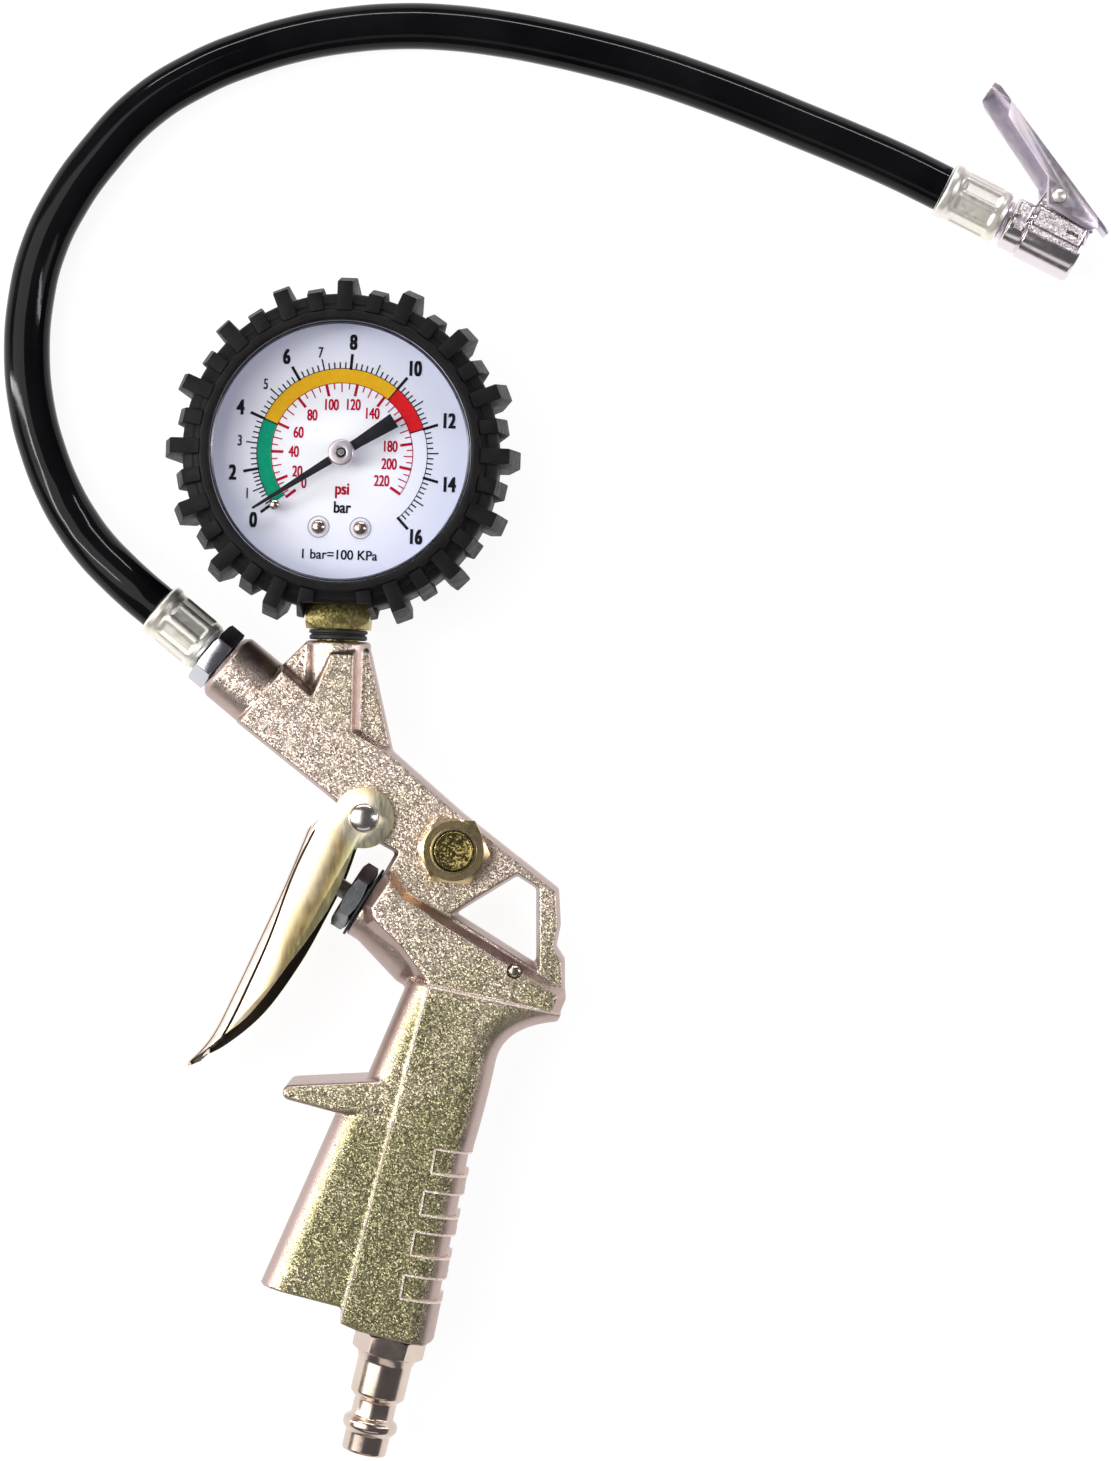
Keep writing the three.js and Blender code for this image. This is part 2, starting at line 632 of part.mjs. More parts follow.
function movementLink() {
  const dx = LINK_END[0] - TAIL_PIN[0];
  const dy = LINK_END[1] - TAIL_PIN[1];
  const length = Math.hypot(dx, dy);
  const shape = new THREE.Shape();
  shape.absarc(0, 0, 1.4, Math.PI / 2, Math.PI * 1.5);
  shape.absarc(length, 0, 1.0, -Math.PI / 2, Math.PI / 2);
  const strip = slab(shape, 11.4, 12.6, { curveSegments: 8 });
  const hole = rod(0.9, 10, 14, 12);
  return strip.subtract(hole).rotate(0, 0, Math.atan2(dy, dx) * 180 / Math.PI).translate(...TAIL_PIN, 0);
}

function hairspring() {
  const outer = [];
  const inner = [];
  const steps = 42;
  for (let step = 0; step <= steps; step += 1) {
    const angle = step / 14 * TURN;
    const radius = 1.5 + 3.4 * step / steps;
    outer.push([(radius + 0.15) * Math.cos(angle), (radius + 0.15) * Math.sin(angle)]);
    inner.unshift([(radius - 0.15) * Math.cos(angle), (radius - 0.15) * Math.sin(angle)]);
  }
  return slab(outline([...outer, ...inner]), 16.8, 17.5);
}

function addMovement(gauge) {
  const bearings = [[0, 0, 1.0], [...SECTOR_PIVOT, 1.0]];
  const screwHoles = DIAL_SCREWS.map(([x, y]) => [x, y, 1.0]);
  const backPlate = movementPlate(8.5, 9.7, bearings);
  const frontPlate = movementPlate(20.2, 21.6, [...bearings, ...screwHoles]);
  addPart(gauge, 'bourdon_tube', bourdonTube(), BRASS());
  addPart(gauge, 'tube_end_cap', tubeEndCap(), BRASS());
  addPart(gauge, 'movement_back_plate', backPlate, BRASS());
  addPart(gauge, 'movement_front_plate', frontPlate, BRASS());
  PILLARS.forEach(([x, y], index) => {
    const pillar = rod(1.2, 10.0, 19.9, 16).translate(x, y, 0);
    addPart(gauge, `movement_pillar_${index + 1}`, pillar, BRASS());
  });
  addPart(gauge, 'pinion_shaft', pinionShaft(), SPRING_STEEL());
  addPart(gauge, 'sector_gear', sectorGear(), BRASS());
  addPart(gauge, 'movement_link', movementLink(), BRASS());
  addPart(gauge, 'hairspring', hairspring(), SPRING_STEEL());
}

function pointerBlade() {
  const blade = slab(outline([
    [-13.6, -1.7], [-4.4, -1.1], [-1, -1.1], [3, -0.9], [23, -0.25], [23, 0.25], [3, 0.9],
    [-1, 1.1], [-4.4, 1.1], [-13.6, 1.7],
  ]), 24.6, 25.3);
  const boss = rod(2.2, 24.0, 25.3, 20);
  return blade.add(boss).subtract(rod(0.95, 20, 30, 16)).rotate(0, 0, POINTER_ANGLE);
}

function addDial(gauge) {
  let dial = rod(30.8, DIAL_Z, DIAL_Z + 0.6, 40).subtract(rod(1.8, 20, 25));
  for (const [x, y] of DIAL_SCREWS) {
    dial = dial.subtract(rod(1.0, 20, 25, 16).translate(x, y, 0));
  }
  const stopAngle = radians(STOP_PIN.angle);
  const stopAt = [STOP_PIN.radius * Math.cos(stopAngle), STOP_PIN.radius * Math.sin(stopAngle)];
  const stop = turned([[0, 22.9], [1.1, 22.9], [1.1, 25.6], [0.6, 26.0], [0, 26.1]], 16);
  addPart(gauge, 'gauge_dial', dial, DIAL_WHITE());
  DIAL_SCREWS.forEach(([x, y], index) => {
    const profile = [[0, 19.6], [0.75, 19.6], [0.75, 22.9], [1.5, 22.9], [1.3, 23.6], [0, 23.8]];
    const screw = turned(profile, 16);
    addPart(gauge, `dial_screw_${index + 1}`, screw.translate(x, y, 0), NICKEL());
  });
  addPart(gauge, 'pointer_stop', stop.translate(...stopAt, 0), NICKEL());
  addPart(gauge, 'gauge_pointer', pointerBlade(), BLACK_PAINT());
  addPart(gauge, 'pointer_hub', ring(1.0, 2.95, 25.6, 27.0, 24), NICKEL());
}

function addGauge(gun) {
  const turn = radians(GAUGE_PORT.angle);
  const gauge = new THREE.Group();
  const x = GAUGE_PORT.at[0] + GAUGE_REACH * Math.cos(turn);
  const y = GAUGE_PORT.at[1] + GAUGE_REACH * Math.sin(turn);
  gauge.position.set(x, y, -MID_PLANE);
  gauge.rotation.z = turn - Math.PI / 2;
  gun.add(gauge);
  const stem = axisFrame(gauge, { at: [0, 0, MID_PLANE], angle: -90 });
  addPart(stem, 'gauge_socket', gaugeSocket(), BRASS());
  addPart(stem, 'gauge_seal', ring(5.0, 6.3, 38.5, 40.7), SEAL_RUBBER());
  addPart(gauge, 'gauge_case', gaugeCase(), DARK_STEEL());
  addPart(gauge, 'gauge_boot', gaugeBoot(), RUBBER());
  addPart(gauge, 'lens_ring', ring(29.0, 30.9, 22.9, 27.7, 40), NICKEL());
  addPart(gauge, 'gauge_lens', rod(30.9, 28.0, 29.8, 40), CLEAR());
  addMovement(gauge);
  addDial(gauge);
}

// ---------- hose and its ferrules ----------

function barbedTail(low, high) {
  const profile = [[1.6, low], [3.0, low]];
  for (let ridge = low + 3; ridge < high - 1; ridge += 4) {
    profile.push([3.0, ridge - 0.2], [3.6, ridge], [3.0, ridge + 1.2]);
  }
  profile.push([3.0, high], [1.6, high], [1.6, low]);
  return turned(profile, 16);
}

function hoseFitting() {
  const hex = hexNut(HOSE_HEX, GAP, 4.4, 0.7).rotate(0, 0, 30);
  const thread = rod(4.6, -9, 1);
  return hex.add(thread).add(barbedTail(4.0, 18.4)).subtract(rod(1.6, -20, 40, 16));
}

function ferrule(low, high, nearRadius, farRadius) {
  const wall = 0.9;
  return turned([
    [farRadius - wall, high], [nearRadius - wall, low + 2.2], [4.0, low + 1.2], [4.0, low],
    [nearRadius - 0.5, low], [nearRadius, low + 0.6], [nearRadius, high - 2.6], [farRadius, high - 1.8],
    [farRadius, high], [farRadius - wall, high],
  ]);
}

function hoseSolid() {
  const path = new THREE.CatmullRomCurve3(HOSE_ROUTE.map((point) => new THREE.Vector3(...point)));
  const section = regularOutline(10, HOSE_RADIUS);
  return toSolid(new THREE.ExtrudeGeometry(section, { steps: 30, extrudePath: path }));
}

function addHose(inflator, gun) {
  const port = axisFrame(gun, HOSE_PORT);
  addPart(port, 'hose_fitting', hoseFitting(), NICKEL());
  addPart(port, 'hose_ferrule_gun', ferrule(4.9, 19.0, 5.9, 6.45), NICKEL());
  addPart(inflator, 'hose', hoseSolid(), HOSE_PVC());
}

// ---------- clip-on chuck: local X is across it towards the lever, Y is up, Z points out of its mouth

function chuckNipple() {
  const collar = ring(1.4, 4.4, 14.9, 15.5, 24);
  const stub = ring(1.4, 2.1, 15.2, 18.0, 20);
  const throat = ring(1.4, 3.0, 14.2, 15.2, 20);
  return barbedTail(0.9, 14.4).subtract(rod(1.4, 0, 30, 16)).add(throat).add(collar).add(stub);
}

function chuckBody() {
  const barrel = turned([
    [0, 15.8], [5.6, 15.8], [6.0, 16.2], [6.0, 19.8], [6.4, 20.2], [6.4, 32.4], [5.9, 33.2], [0, 33.2],
  ], 36);
  const [across, along] = LEVER_PIN;
  const earSide = new THREE.Shape();
  earSide.moveTo(3, along - 3.9);
  earSide.lineTo(across, along - 2.9);
  earSide.absarc(across, along, 2.9, -Math.PI / 2, Math.PI / 2);
  earSide.lineTo(3, along + 3.9);
  const ear = lyingPlate(earSide, 1.6);
  const pinHole = crossRod(1.7, 10);
  const jawSlot = box(0.5, 9, -4.2, 4.2, 30.9, 32.5);
  const bore = turned([
    [0, 10], [2.4, 10], [2.4, 23.6], [4.8, 23.6], [4.8, 32.4], [5.2, 40], [0, 40],
  ], 32);
  return barrel.add(ear).subtract(pinHole).subtract(jawSlot).subtract(bore);
}

// A plate whose outline is drawn across and along the chuck, centred on its axis height.
function lyingPlate(shape, half) {
  const flat = new THREE.Matrix4().makeBasis(
    new THREE.Vector3(1, 0, 0), new THREE.Vector3(0, 0, 1), new THREE.Vector3(0, -1, 0),
  );
  return plate(shape, half).transform(flat.elements);
}

function crossRod(radius, half) {
  return rod(radius, -half, half, 20).rotate(90, 0, 0).translate(LEVER_PIN[0], 0, LEVER_PIN[1]);
}

function chuckLever() {
  const tip = [25.4, 0.5];
  const nose = [9.3, 32.8];
  const side = lyingPlate(outline([
    tip, [25.5, -1.0], [22.5, -1.6], [21.0, -0.3], [10.2, 18.9], [8.4, 20.0], [6.4, 22.0],
    [5.5, 32.5], [7.1, 34.2], nose,
  ]), 5.0);
  const inset = [-0.9, -0.46];
  const hollow = lyingPlate(outline([
    [tip[0] + inset[0], tip[1] + inset[1]], [tip[0] - 20, -12], [-20, 20], [0, 45],
    [nose[0] + inset[0], nose[1] + inset[1] + 2],
  ]), 4.0);
  const window = lyingPlate(outline([[19.8, 3.6], [22.2, 4.8], [20.8, 7.8], [18.4, 6.6]]), 8);
  const tongue = lyingPlate(outline([[8.9, 32.6], [9.6, 33.2], [7.6, 37.0], [6.9, 36.7]]), 3.0);
  return side.subtract(hollow).subtract(window).add(tongue).subtract(crossRod(1.7, 10));
}

function chuckJaw() {
  const blade = box(0.9, 7.9, -3.6, 3.6, 31.2, 32.2);
  return blade.subtract(rod(4.0, 30, 34, 32));
}

function chuckSpring() {
  return coil(2.2, 0.3, 1.9, 3.7, 2).rotate(-90, 0, 0).translate(LEVER_PIN[0], 0, LEVER_PIN[1]);
}

function addChuck(inflator) {
  const chuck = axisFrame(inflator, CHUCK);
  const depressor = rod(0.9, 18.5, 27.2, 12).add(ring(0.8, 2.1, 19, 20, 16));
  addPart(chuck, 'hose_ferrule_chuck', ferrule(-14.45, 0, 5.9, 6.4).mirror([0, 0, 1]), NICKEL());
  addPart(chuck, 'chuck_nipple', chuckNipple(), NICKEL());
  addPart(chuck, 'chuck_body', chuckBody(), NICKEL());
  addPart(chuck, 'chuck_seal', ring(2.2, 4.5, 24.0, 27.4, 24), SEAL_RUBBER());
  addPart(chuck, 'chuck_core_pin', depressor, BRASS());
  addPart(chuck, 'chuck_lever', chuckLever(), NICKEL());
  addPart(chuck, 'chuck_lever_pin', crossRod(1.5, 5.6), NICKEL());
  addPart(chuck, 'chuck_jaw', chuckJaw(), BRASS());
  addPart(chuck, 'chuck_spring', chuckSpring(), SPRING_STEEL());
}

// ---------- assembly ----------

const inflator = new THREE.Group();
const gun = new THREE.Group();
gun.position.z = MID_PLANE;
inflator.add(gun);
addCasting(gun);
addTrigger(gun);
addAirValve(gun);
addBleedValve(gun);
addInlet(gun);
addGauge(gun);
addHose(inflator, gun);
addChuck(inflator);

export default inflator;
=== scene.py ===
import json
import math

import bmesh
import bpy
from mathutils import Matrix, Vector


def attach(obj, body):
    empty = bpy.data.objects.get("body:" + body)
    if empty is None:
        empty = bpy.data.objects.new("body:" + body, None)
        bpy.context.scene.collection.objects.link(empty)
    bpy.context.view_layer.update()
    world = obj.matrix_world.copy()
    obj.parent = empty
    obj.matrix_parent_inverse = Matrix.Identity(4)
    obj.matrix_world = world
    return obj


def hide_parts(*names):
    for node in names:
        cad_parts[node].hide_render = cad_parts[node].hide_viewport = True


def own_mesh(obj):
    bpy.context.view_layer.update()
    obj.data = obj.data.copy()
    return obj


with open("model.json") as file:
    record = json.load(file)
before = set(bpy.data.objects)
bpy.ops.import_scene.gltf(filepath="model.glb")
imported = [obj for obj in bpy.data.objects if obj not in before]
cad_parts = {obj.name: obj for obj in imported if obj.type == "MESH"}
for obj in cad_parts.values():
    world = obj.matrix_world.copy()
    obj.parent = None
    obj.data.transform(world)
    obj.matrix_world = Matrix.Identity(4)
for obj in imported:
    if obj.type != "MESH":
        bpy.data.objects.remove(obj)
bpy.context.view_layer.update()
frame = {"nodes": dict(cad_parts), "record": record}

# Shapes are drawn in millimetres and scaled to metres when a piece is made.
MM = 0.001
MID_PLANE = 12.5
PIVOT = (0.1, 11.7)
BLEED = (20.0, 4.5)
AIRWAY_PLUG = (33.3, -21.9)
HOSE_PORT = (-31.2, 45.8, MID_PLANE, 140)
VALVE_PORT = (0.0, -7.4, MID_PLANE, 148)
INLET_PORT = (6.0, -102.7, MID_PLANE, -103.5)
GAUGE_PORT = (-6.0, 50.7, MID_PLANE, 88)
GAUGE_REACH = 41.0                      # from the gauge's port to the middle of its dial
CHUCK = (129.4, 152.0, 6.6, -27)

ARM_HALF = 8.0
BREECH_HALF = 11.4
GRIP_HALF = 12.1
PANEL_HALF = 12.5
GRIP_EDGE = (5.6, 6.6, 12)              # the inset, rise and steps of the grip's rounded edges
ARM_WIDTH = 16.2
HEX_WIDTH = 14.0                        # across the flats of the nuts and the air inlet
HOSE_DIAMETER = 10.3
CASTING_VOXEL = 0.36
CASTING_FACES = 0.45                    # share of the faces kept once the skin is smoothed
DIAL_TOP = 22.6
POINTER_ANGLE = 213.7

HOSE_ROUTE = [
    (-45.98, 58.21, 12.5), (-50.4, 61.9, 12.3), (-55.4, 66.5, 11.2), (-60.0, 71.2, 9.6),
    (-64.2, 76.6, 7.7), (-68.6, 83.9, 6.0), (-72.7, 94.0, 5.3), (-75.2, 104.0, 5.2),
    (-76.2, 115.5, 5.2), (-75.3, 127.4, 5.2), (-72.6, 138.6, 5.2), (-67.3, 149.6, 5.2),
    (-60.2, 159.6, 5.2), (-49.7, 170.6, 5.2), (-37.6, 178.2, 5.2), (-26.2, 182.9, 5.2),
    (-15.0, 186.1, 5.2), (-3.8, 188.0, 5.2), (7.4, 188.8, 5.2), (18.0, 188.5, 5.2),
    (29.9, 187.1, 5.2), (41.2, 185.0, 5.2), (52.3, 182.4, 5.2), (63.5, 179.3, 5.2),
    (74.7, 175.5, 5.3), (86.0, 171.2, 5.5), (97.1, 166.6, 5.9), (108.3, 161.9, 6.3),
    (119.5, 156.9, 6.55), (129.13, 152.14, 6.6),
]

TURN = 2 * math.pi


# ---------- camera, floor and light ----------

CAMERA_AT = Vector((0.0423, 0.0309, 0.850))
VIEW_HEIGHT = 0.3247                    # what the picture's height covers at the gun's mid-plane
SENSOR = 36.0


def linked(name, data):
    """A new object of the scene that holds the data."""
    made = bpy.data.objects.new(name, data)
    bpy.context.scene.collection.objects.link(made)
    return made


def add_camera():
    data = bpy.data.cameras.new("camera")
    camera = linked("camera", data)
    distance = CAMERA_AT.z - MID_PLANE * MM
    data.sensor_width = SENSOR
    data.lens = SENSOR * distance / VIEW_HEIGHT
    data.clip_start = 0.01
    data.clip_end = 20
    camera.location = CAMERA_AT
    bpy.context.scene.camera = camera


def add_area(name, at, size, radiance, color=(1, 1, 1)):
    """A rectangular light of the given size and radiance that faces the object."""
    data = bpy.data.lights.new(name, "AREA")
    data.shape = "RECTANGLE"
    data.size = size[0]
    data.size_y = size[1]
    data.energy = radiance * math.pi * size[0] * size[1]
    data.color = color
    lamp = linked(name, data)
    lamp.location = at
    aim = LIGHT_TARGET - Vector(at)
    lamp.rotation_euler = aim.to_track_quat("-Z", "Y").to_euler()


LIGHT_TARGET = Vector((0.03, 0.03, 0.0))
OVERHEAD = 0.1                          # the dark studio ceiling, which the flat metal faces mirror


def add_light():
    """Broad dim softboxes for the metal's tones, and bright thin strips for its edges and the hose."""
    add_area("softbox_left", (-0.60, 0.12, 0.75), (0.85, 1.0), 2.3, (1.0, 0.985, 0.95))
    add_area("softbox_right", (0.95, 0.0, 0.33), (0.3, 1.1), 1.6, (1.0, 0.95, 0.96))
    add_area("softbox_front", (0.0, -0.85, 0.62), (1.0, 0.3), 0.8, (1.0, 0.98, 0.92))
    add_area("strip_left", (-0.95, 0.1, 0.40), (0.05, 1.3), 28.0)
    add_area("strip_top", (0.0, 1.05, 0.5), (1.3, 0.05), 30.0, (0.96, 0.97, 1.0))
    add_area("strip_right", (1.0, 0.1, 0.62), (0.04, 1.2), 16.0, (0.98, 0.96, 1.0))
    world = bpy.data.worlds.new("studio")
    world.use_nodes = True
    background = world.node_tree.nodes["Background"].inputs
    background["Color"].default_value = (0.9, 0.9, 1.0, 1)
    background["Strength"].default_value = OVERHEAD
    bpy.context.scene.world = world
    bpy.context.scene.view_settings.view_transform = "Standard"


def add_floor():
    bpy.ops.mesh.primitive_plane_add(size=6, location=(0.04, 0.03, -0.0002))
    floor = bpy.context.object
    floor.name = "floor"
    floor.data.materials.append(floor_material())


# ---------- materials ----------

class Nodes:
    """A material's node tree, with short calls to add and join nodes."""

    def __init__(self, name):
        self.material = bpy.data.materials.new(name)
        self.material.use_nodes = True
        self.tree = self.material.node_tree

    def feed(self, node, inputs):
        """Joins each named or numbered input to a socket, or sets its value."""
        for key, value in inputs.items():
            socket = node.inputs[key.replace("_", " ") if isinstance(key, str) else key]
            if isinstance(value, bpy.types.NodeSocket):
                self.tree.links.new(value, socket)
            elif socket.type == "RGBA":
                socket.default_value = (*value, 1)
            else:
                socket.default_value = value

    def add(self, kind, **inputs):
        node = self.tree.nodes.new("ShaderNode" + kind)
        self.feed(node, inputs)
        return node

    def finished(self, **inputs):
        """The material, once its shader's inputs are set."""
        self.feed(self.tree.nodes["Principled BSDF"], inputs)
        return self.material

    def place(self, scale=(1, 1, 1), turn=(0, 0, 0)):
        coordinates = self.add("TexCoord").outputs["Object"]
        return self.add("Mapping", Vector=coordinates, Scale=scale, Rotation=turn).outputs["Vector"]

    def axis(self, vector, name):
        return self.add("SeparateXYZ", Vector=vector).outputs[name]

    def noise(self, scale, detail=2.0, vector=None):
        place = vector or self.place()
        return self.add("TexNoise", Vector=place, Scale=scale, Detail=detail).outputs["Fac"]

    def cells(self, scale):
        """A random colour in each small cell."""
        return self.add("TexVoronoi", Vector=self.place(), Scale=scale).outputs["Color"]

    def ramp(self, value, stops):
        node = self.add("ValToRGB", Fac=value)
        elements = node.color_ramp.elements
        while len(elements) < len(stops):
            elements.new(0.5)
        for element, (at, color) in zip(elements, stops):
            element.position = at
            element.color = (*color, 1)
        return node.outputs["Color"]

    def rescaled(self, value, first, last, low=0.0, high=1.0):
        """The value brought from the range first to last, and kept in it, to low to high."""
        node = self.add("MapRange", Value=value, From_Min=first, From_Max=last, To_Min=low, To_Max=high)
        return node.outputs["Result"]

    def spread(self, noise, low, high):
        """A noise's usual range, brought to low to high."""
        return self.rescaled(noise, 0.3, 0.7, low, high)

    def operate(self, kind, operation, values):
        node = self.add(kind)
        node.operation = operation
        self.feed(node, dict(enumerate(values)))
        return node.outputs

    def math(self, operation, *values):
        return self.operate("Math", operation, values)["Value"]

    def vector(self, operation, *values):
        return self.operate("VectorMath", operation, values)["Vector"]

    def measure(self, operation, *vectors):
        return self.operate("VectorMath", operation, vectors)["Value"]

    def mix(self, share, first, second):
        node = self.add("Mix")
        node.data_type = "RGBA"
        self.feed(node, {0: share, 6: first, 7: second})
        return node.outputs[2]

    def normal(self, kind="Normal"):
        return self.add("NewGeometry").outputs[kind]

    def level(self, first, last, kind="Normal"):
        """How level the surface is, from 0 at the first upward share of its normal to 1 at the last."""
        return self.rescaled(self.math("ABSOLUTE", self.axis(self.normal(kind), "Z")), first, last)

    def facets(self, scale, tilt, share=1.0):
        """The normal tilted at random in each small cell, as crystal grain does."""
        lean = self.vector("SUBTRACT", self.cells(scale), (0.5, 0.5, 0.5))
        lean = self.vector("MULTIPLY", lean, self.math("MULTIPLY", share, tilt))
        return self.vector("NORMALIZE", self.vector("ADD", self.normal(), lean))

    def bump(self, height, distance, **inputs):
        return self.add("Bump", Height=height, Distance=distance, **inputs).outputs["Normal"]


def floor_material():
    n = Nodes("floor")
    tint = n.ramp(n.noise(9.0), [(0.3, (0.19, 0.19, 0.2)), (0.7, (0.22, 0.22, 0.22))])
    return n.finished(Base_Color=tint, Roughness=0.8, Emission_Color=(1, 1, 1), Emission_Strength=0.9,
                      Specular_IOR_Level=0.05)


def casting_material():
    """Plated die casting: faceted sparkling grain on its flat faces, smoother flanks whose fixed darker
    pinkish colour is a painted reflection of the floor and painted shade, and a
    tint that drifts from champagne at the arm to olive towards the grip's foot."""
    n = Nodes("casting")
    grain = 3700.0
    along = n.rescaled(n.axis(n.place(), "Y"), 0.02, -0.07)
    tone = n.ramp(n.math("ADD", along, n.spread(n.noise(38.0), -0.35, 0.35)), [
        (0.1, (1.0, 0.84, 0.74)), (0.5, (0.85, 0.75, 0.56)), (0.95, (0.50, 0.47, 0.27)),
    ])
    flecks = n.ramp(n.cells(grain), [
        (0.2, (0.50, 0.46, 0.41)), (0.45, (0.92, 0.91, 0.90)), (0.65, (1.0, 1.0, 1.0)),
    ])
    flat = n.level(0.72, 0.97)
    # Sloping faces take a fixed darker pinkish colour: a painted reflection of the floor and painted
    # shade.
    color = n.mix(flat, (0.50, 0.385, 0.35), n.vector("MULTIPLY", tone, flecks))
    gloss = n.spread(n.noise(500.0), 0.34, 0.42)
    return n.finished(Base_Color=color, Metallic=1.0, Roughness=gloss, Normal=n.facets(grain, 0.42, flat))


def plated(name, color, roughness, tint, grain=900.0, depth=0.00001):
    """Smooth plated metal with faint tool marks, uneven gloss and a slight drift of colour."""
    n = Nodes(name)
    tone = n.ramp(n.noise(120.0, 4.0), [(0.35, color), (0.7, tint)])
    gloss = n.spread(n.noise(700.0), roughness * 0.9, roughness * 1.2)
    marks = n.bump(n.noise(grain, 3.0), depth)
    return n.finished(Base_Color=tone, Metallic=1.0, Roughness=gloss, Normal=marks)


def grained(name, color, tint, scale, tilt, roughness):
    """Bright plating over a grainy surface, so that its flats sparkle evenly."""
    n = Nodes(name)
    tone = n.ramp(n.noise(140.0, 3.0), [(0.35, color), (0.7, tint)])
    gloss = n.spread(n.noise(700.0), roughness * 0.85, roughness * 1.2)
    return n.finished(Base_Color=tone, Metallic=1.0, Roughness=gloss, Normal=n.facets(scale, tilt))


def chuck_material():
    """Bright nickel on a die casting, with a fine sparkle on what faces up."""
    n = Nodes("chuck_cast")
    grain = 3800.0
    flat = n.level(0.99, 0.998, "True Normal")
    tone = n.ramp(n.noise(140.0, 3.0), [(0.35, (0.84, 0.75, 0.80)), (0.7, (0.80, 0.76, 0.74))])
    flecks = n.ramp(n.cells(grain), [(0.2, (0.5, 0.42, 0.44)), (0.5, (1.0, 0.93, 0.95))])
    gloss = n.math("ADD", n.spread(n.noise(700.0), 0.15, 0.22), n.math("MULTIPLY", flat, 0.28))
    return n.finished(Base_Color=n.mix(flat, tone, flecks), Metallic=1.0, Roughness=gloss,
                      Normal=n.facets(grain, 0.75, flat))


def trigger_material():
    """Yellow zinc plate with fine short scratches. The cheeks are slightly crowned towards the finger
    web, and their colour runs from pale pink at the web through gold to brighter pale green at the rear
    edge: the plating's own drift of colour, painted paler where the highlight falls and brighter along
    the lit rear edge.
    The ears round the rivet are painted whiter as a highlight, and the far cheek's inner face is painted
    dark as shade between the cheeks."""
    n = Nodes("trigger_zinc")
    across = n.measure("DOT_PRODUCT", n.place(), (0.89, -0.455, 0.0))
    crown = n.rescaled(across, -0.0150, -0.0035, 1.0, 0.15)
    # The cheek's colour follows the crown: paler and pinker towards the web and brighter at the rear
    # edge, a painted highlight on top of the plating's drift of colour.
    plating = n.ramp(n.math("ADD", crown, n.spread(n.noise(70.0), -0.12, 0.12)), [
        (0.12, (0.86, 0.83, 0.46)), (0.34, (0.80, 0.60, 0.27)), (0.58, (0.92, 0.78, 0.54)),
        (0.85, (0.90, 0.75, 0.66)),
    ])
    # Close round the rivet the ears are painted whiter: a painted highlight.
    level = n.vector("MULTIPLY", n.place(), (1.0, 1.0, 0.0))
    away = n.measure("DISTANCE", level, (PIVOT[0] * MM, PIVOT[1] * MM, 0.0))
    plating = n.mix(n.rescaled(away, 0.0075, 0.0045), plating, (1.0, 0.91, 0.70))
    # Upward faces below the near cheek, the far cheek's inner face, are painted near black: painted shade
    # between the cheeks.
    upward = n.math("GREATER_THAN", n.axis(n.normal(), "Z"), 0.6)
    inside = n.math("MULTIPLY", upward, n.math("LESS_THAN", n.axis(n.place(), "Z"), 0.0217))
    fall = n.math("SUBTRACT", 1.0, n.math("POWER", crown, 2.0))
    scratch = n.noise(1500.0, vector=n.place((1.0, 0.25, 1.0), (0, 0, -0.45)))
    marks = n.bump(scratch, 0.00002, Strength=0.7, Normal=n.bump(fall, 0.0021))
    return n.finished(Base_Color=n.mix(inside, plating, (0.07, 0.055, 0.04)), Metallic=1.0,
                      Roughness=n.spread(scratch, 0.28, 0.42), Normal=marks)


def rubber_material():
    n = Nodes("rubber")
    tone = n.ramp(n.noise(260.0, 4.0), [(0.3, (0.007, 0.006, 0.007)), (0.75, (0.015, 0.014, 0.015))])
    return n.finished(Base_Color=tone, Roughness=n.spread(n.noise(500.0), 0.45, 0.62),
                      Normal=n.bump(n.noise(2600.0, 3.0), 0.00004, Strength=0.7), Specular_IOR_Level=0.16)


def seal_material():
    n = Nodes("seal_rubber")
    tone = n.ramp(n.noise(400.0), [(0.3, (0.01, 0.01, 0.01)), (0.7, (0.022, 0.02, 0.02))])
    return n.finished(Base_Color=tone, Roughness=0.6, Normal=n.bump(n.noise(1500.0), 0.00003))


def hose_material():
    """Gloss-black extruded cover with a slight waviness."""
    n = Nodes("hose")
    tone = n.ramp(n.noise(60.0, 3.0), [(0.35, (0.003, 0.003, 0.004)), (0.7, (0.007, 0.007, 0.008))])
    return n.finished(Base_Color=tone, Roughness=n.spread(n.noise(90.0, 4.0), 0.05, 0.12),
                      Normal=n.bump(n.noise(130.0, 3.0), 0.00006, Strength=0.5), Specular_IOR_Level=0.16)


def paint_material():
    n = Nodes("black_paint")
    tone = n.ramp(n.noise(300.0), [(0.3, (0.012, 0.012, 0.014)), (0.7, (0.022, 0.022, 0.024))])
    return n.finished(Base_Color=tone, Roughness=0.42, Normal=n.bump(n.noise(2200.0), 0.00001),
                      Specular_IOR_Level=0.15)


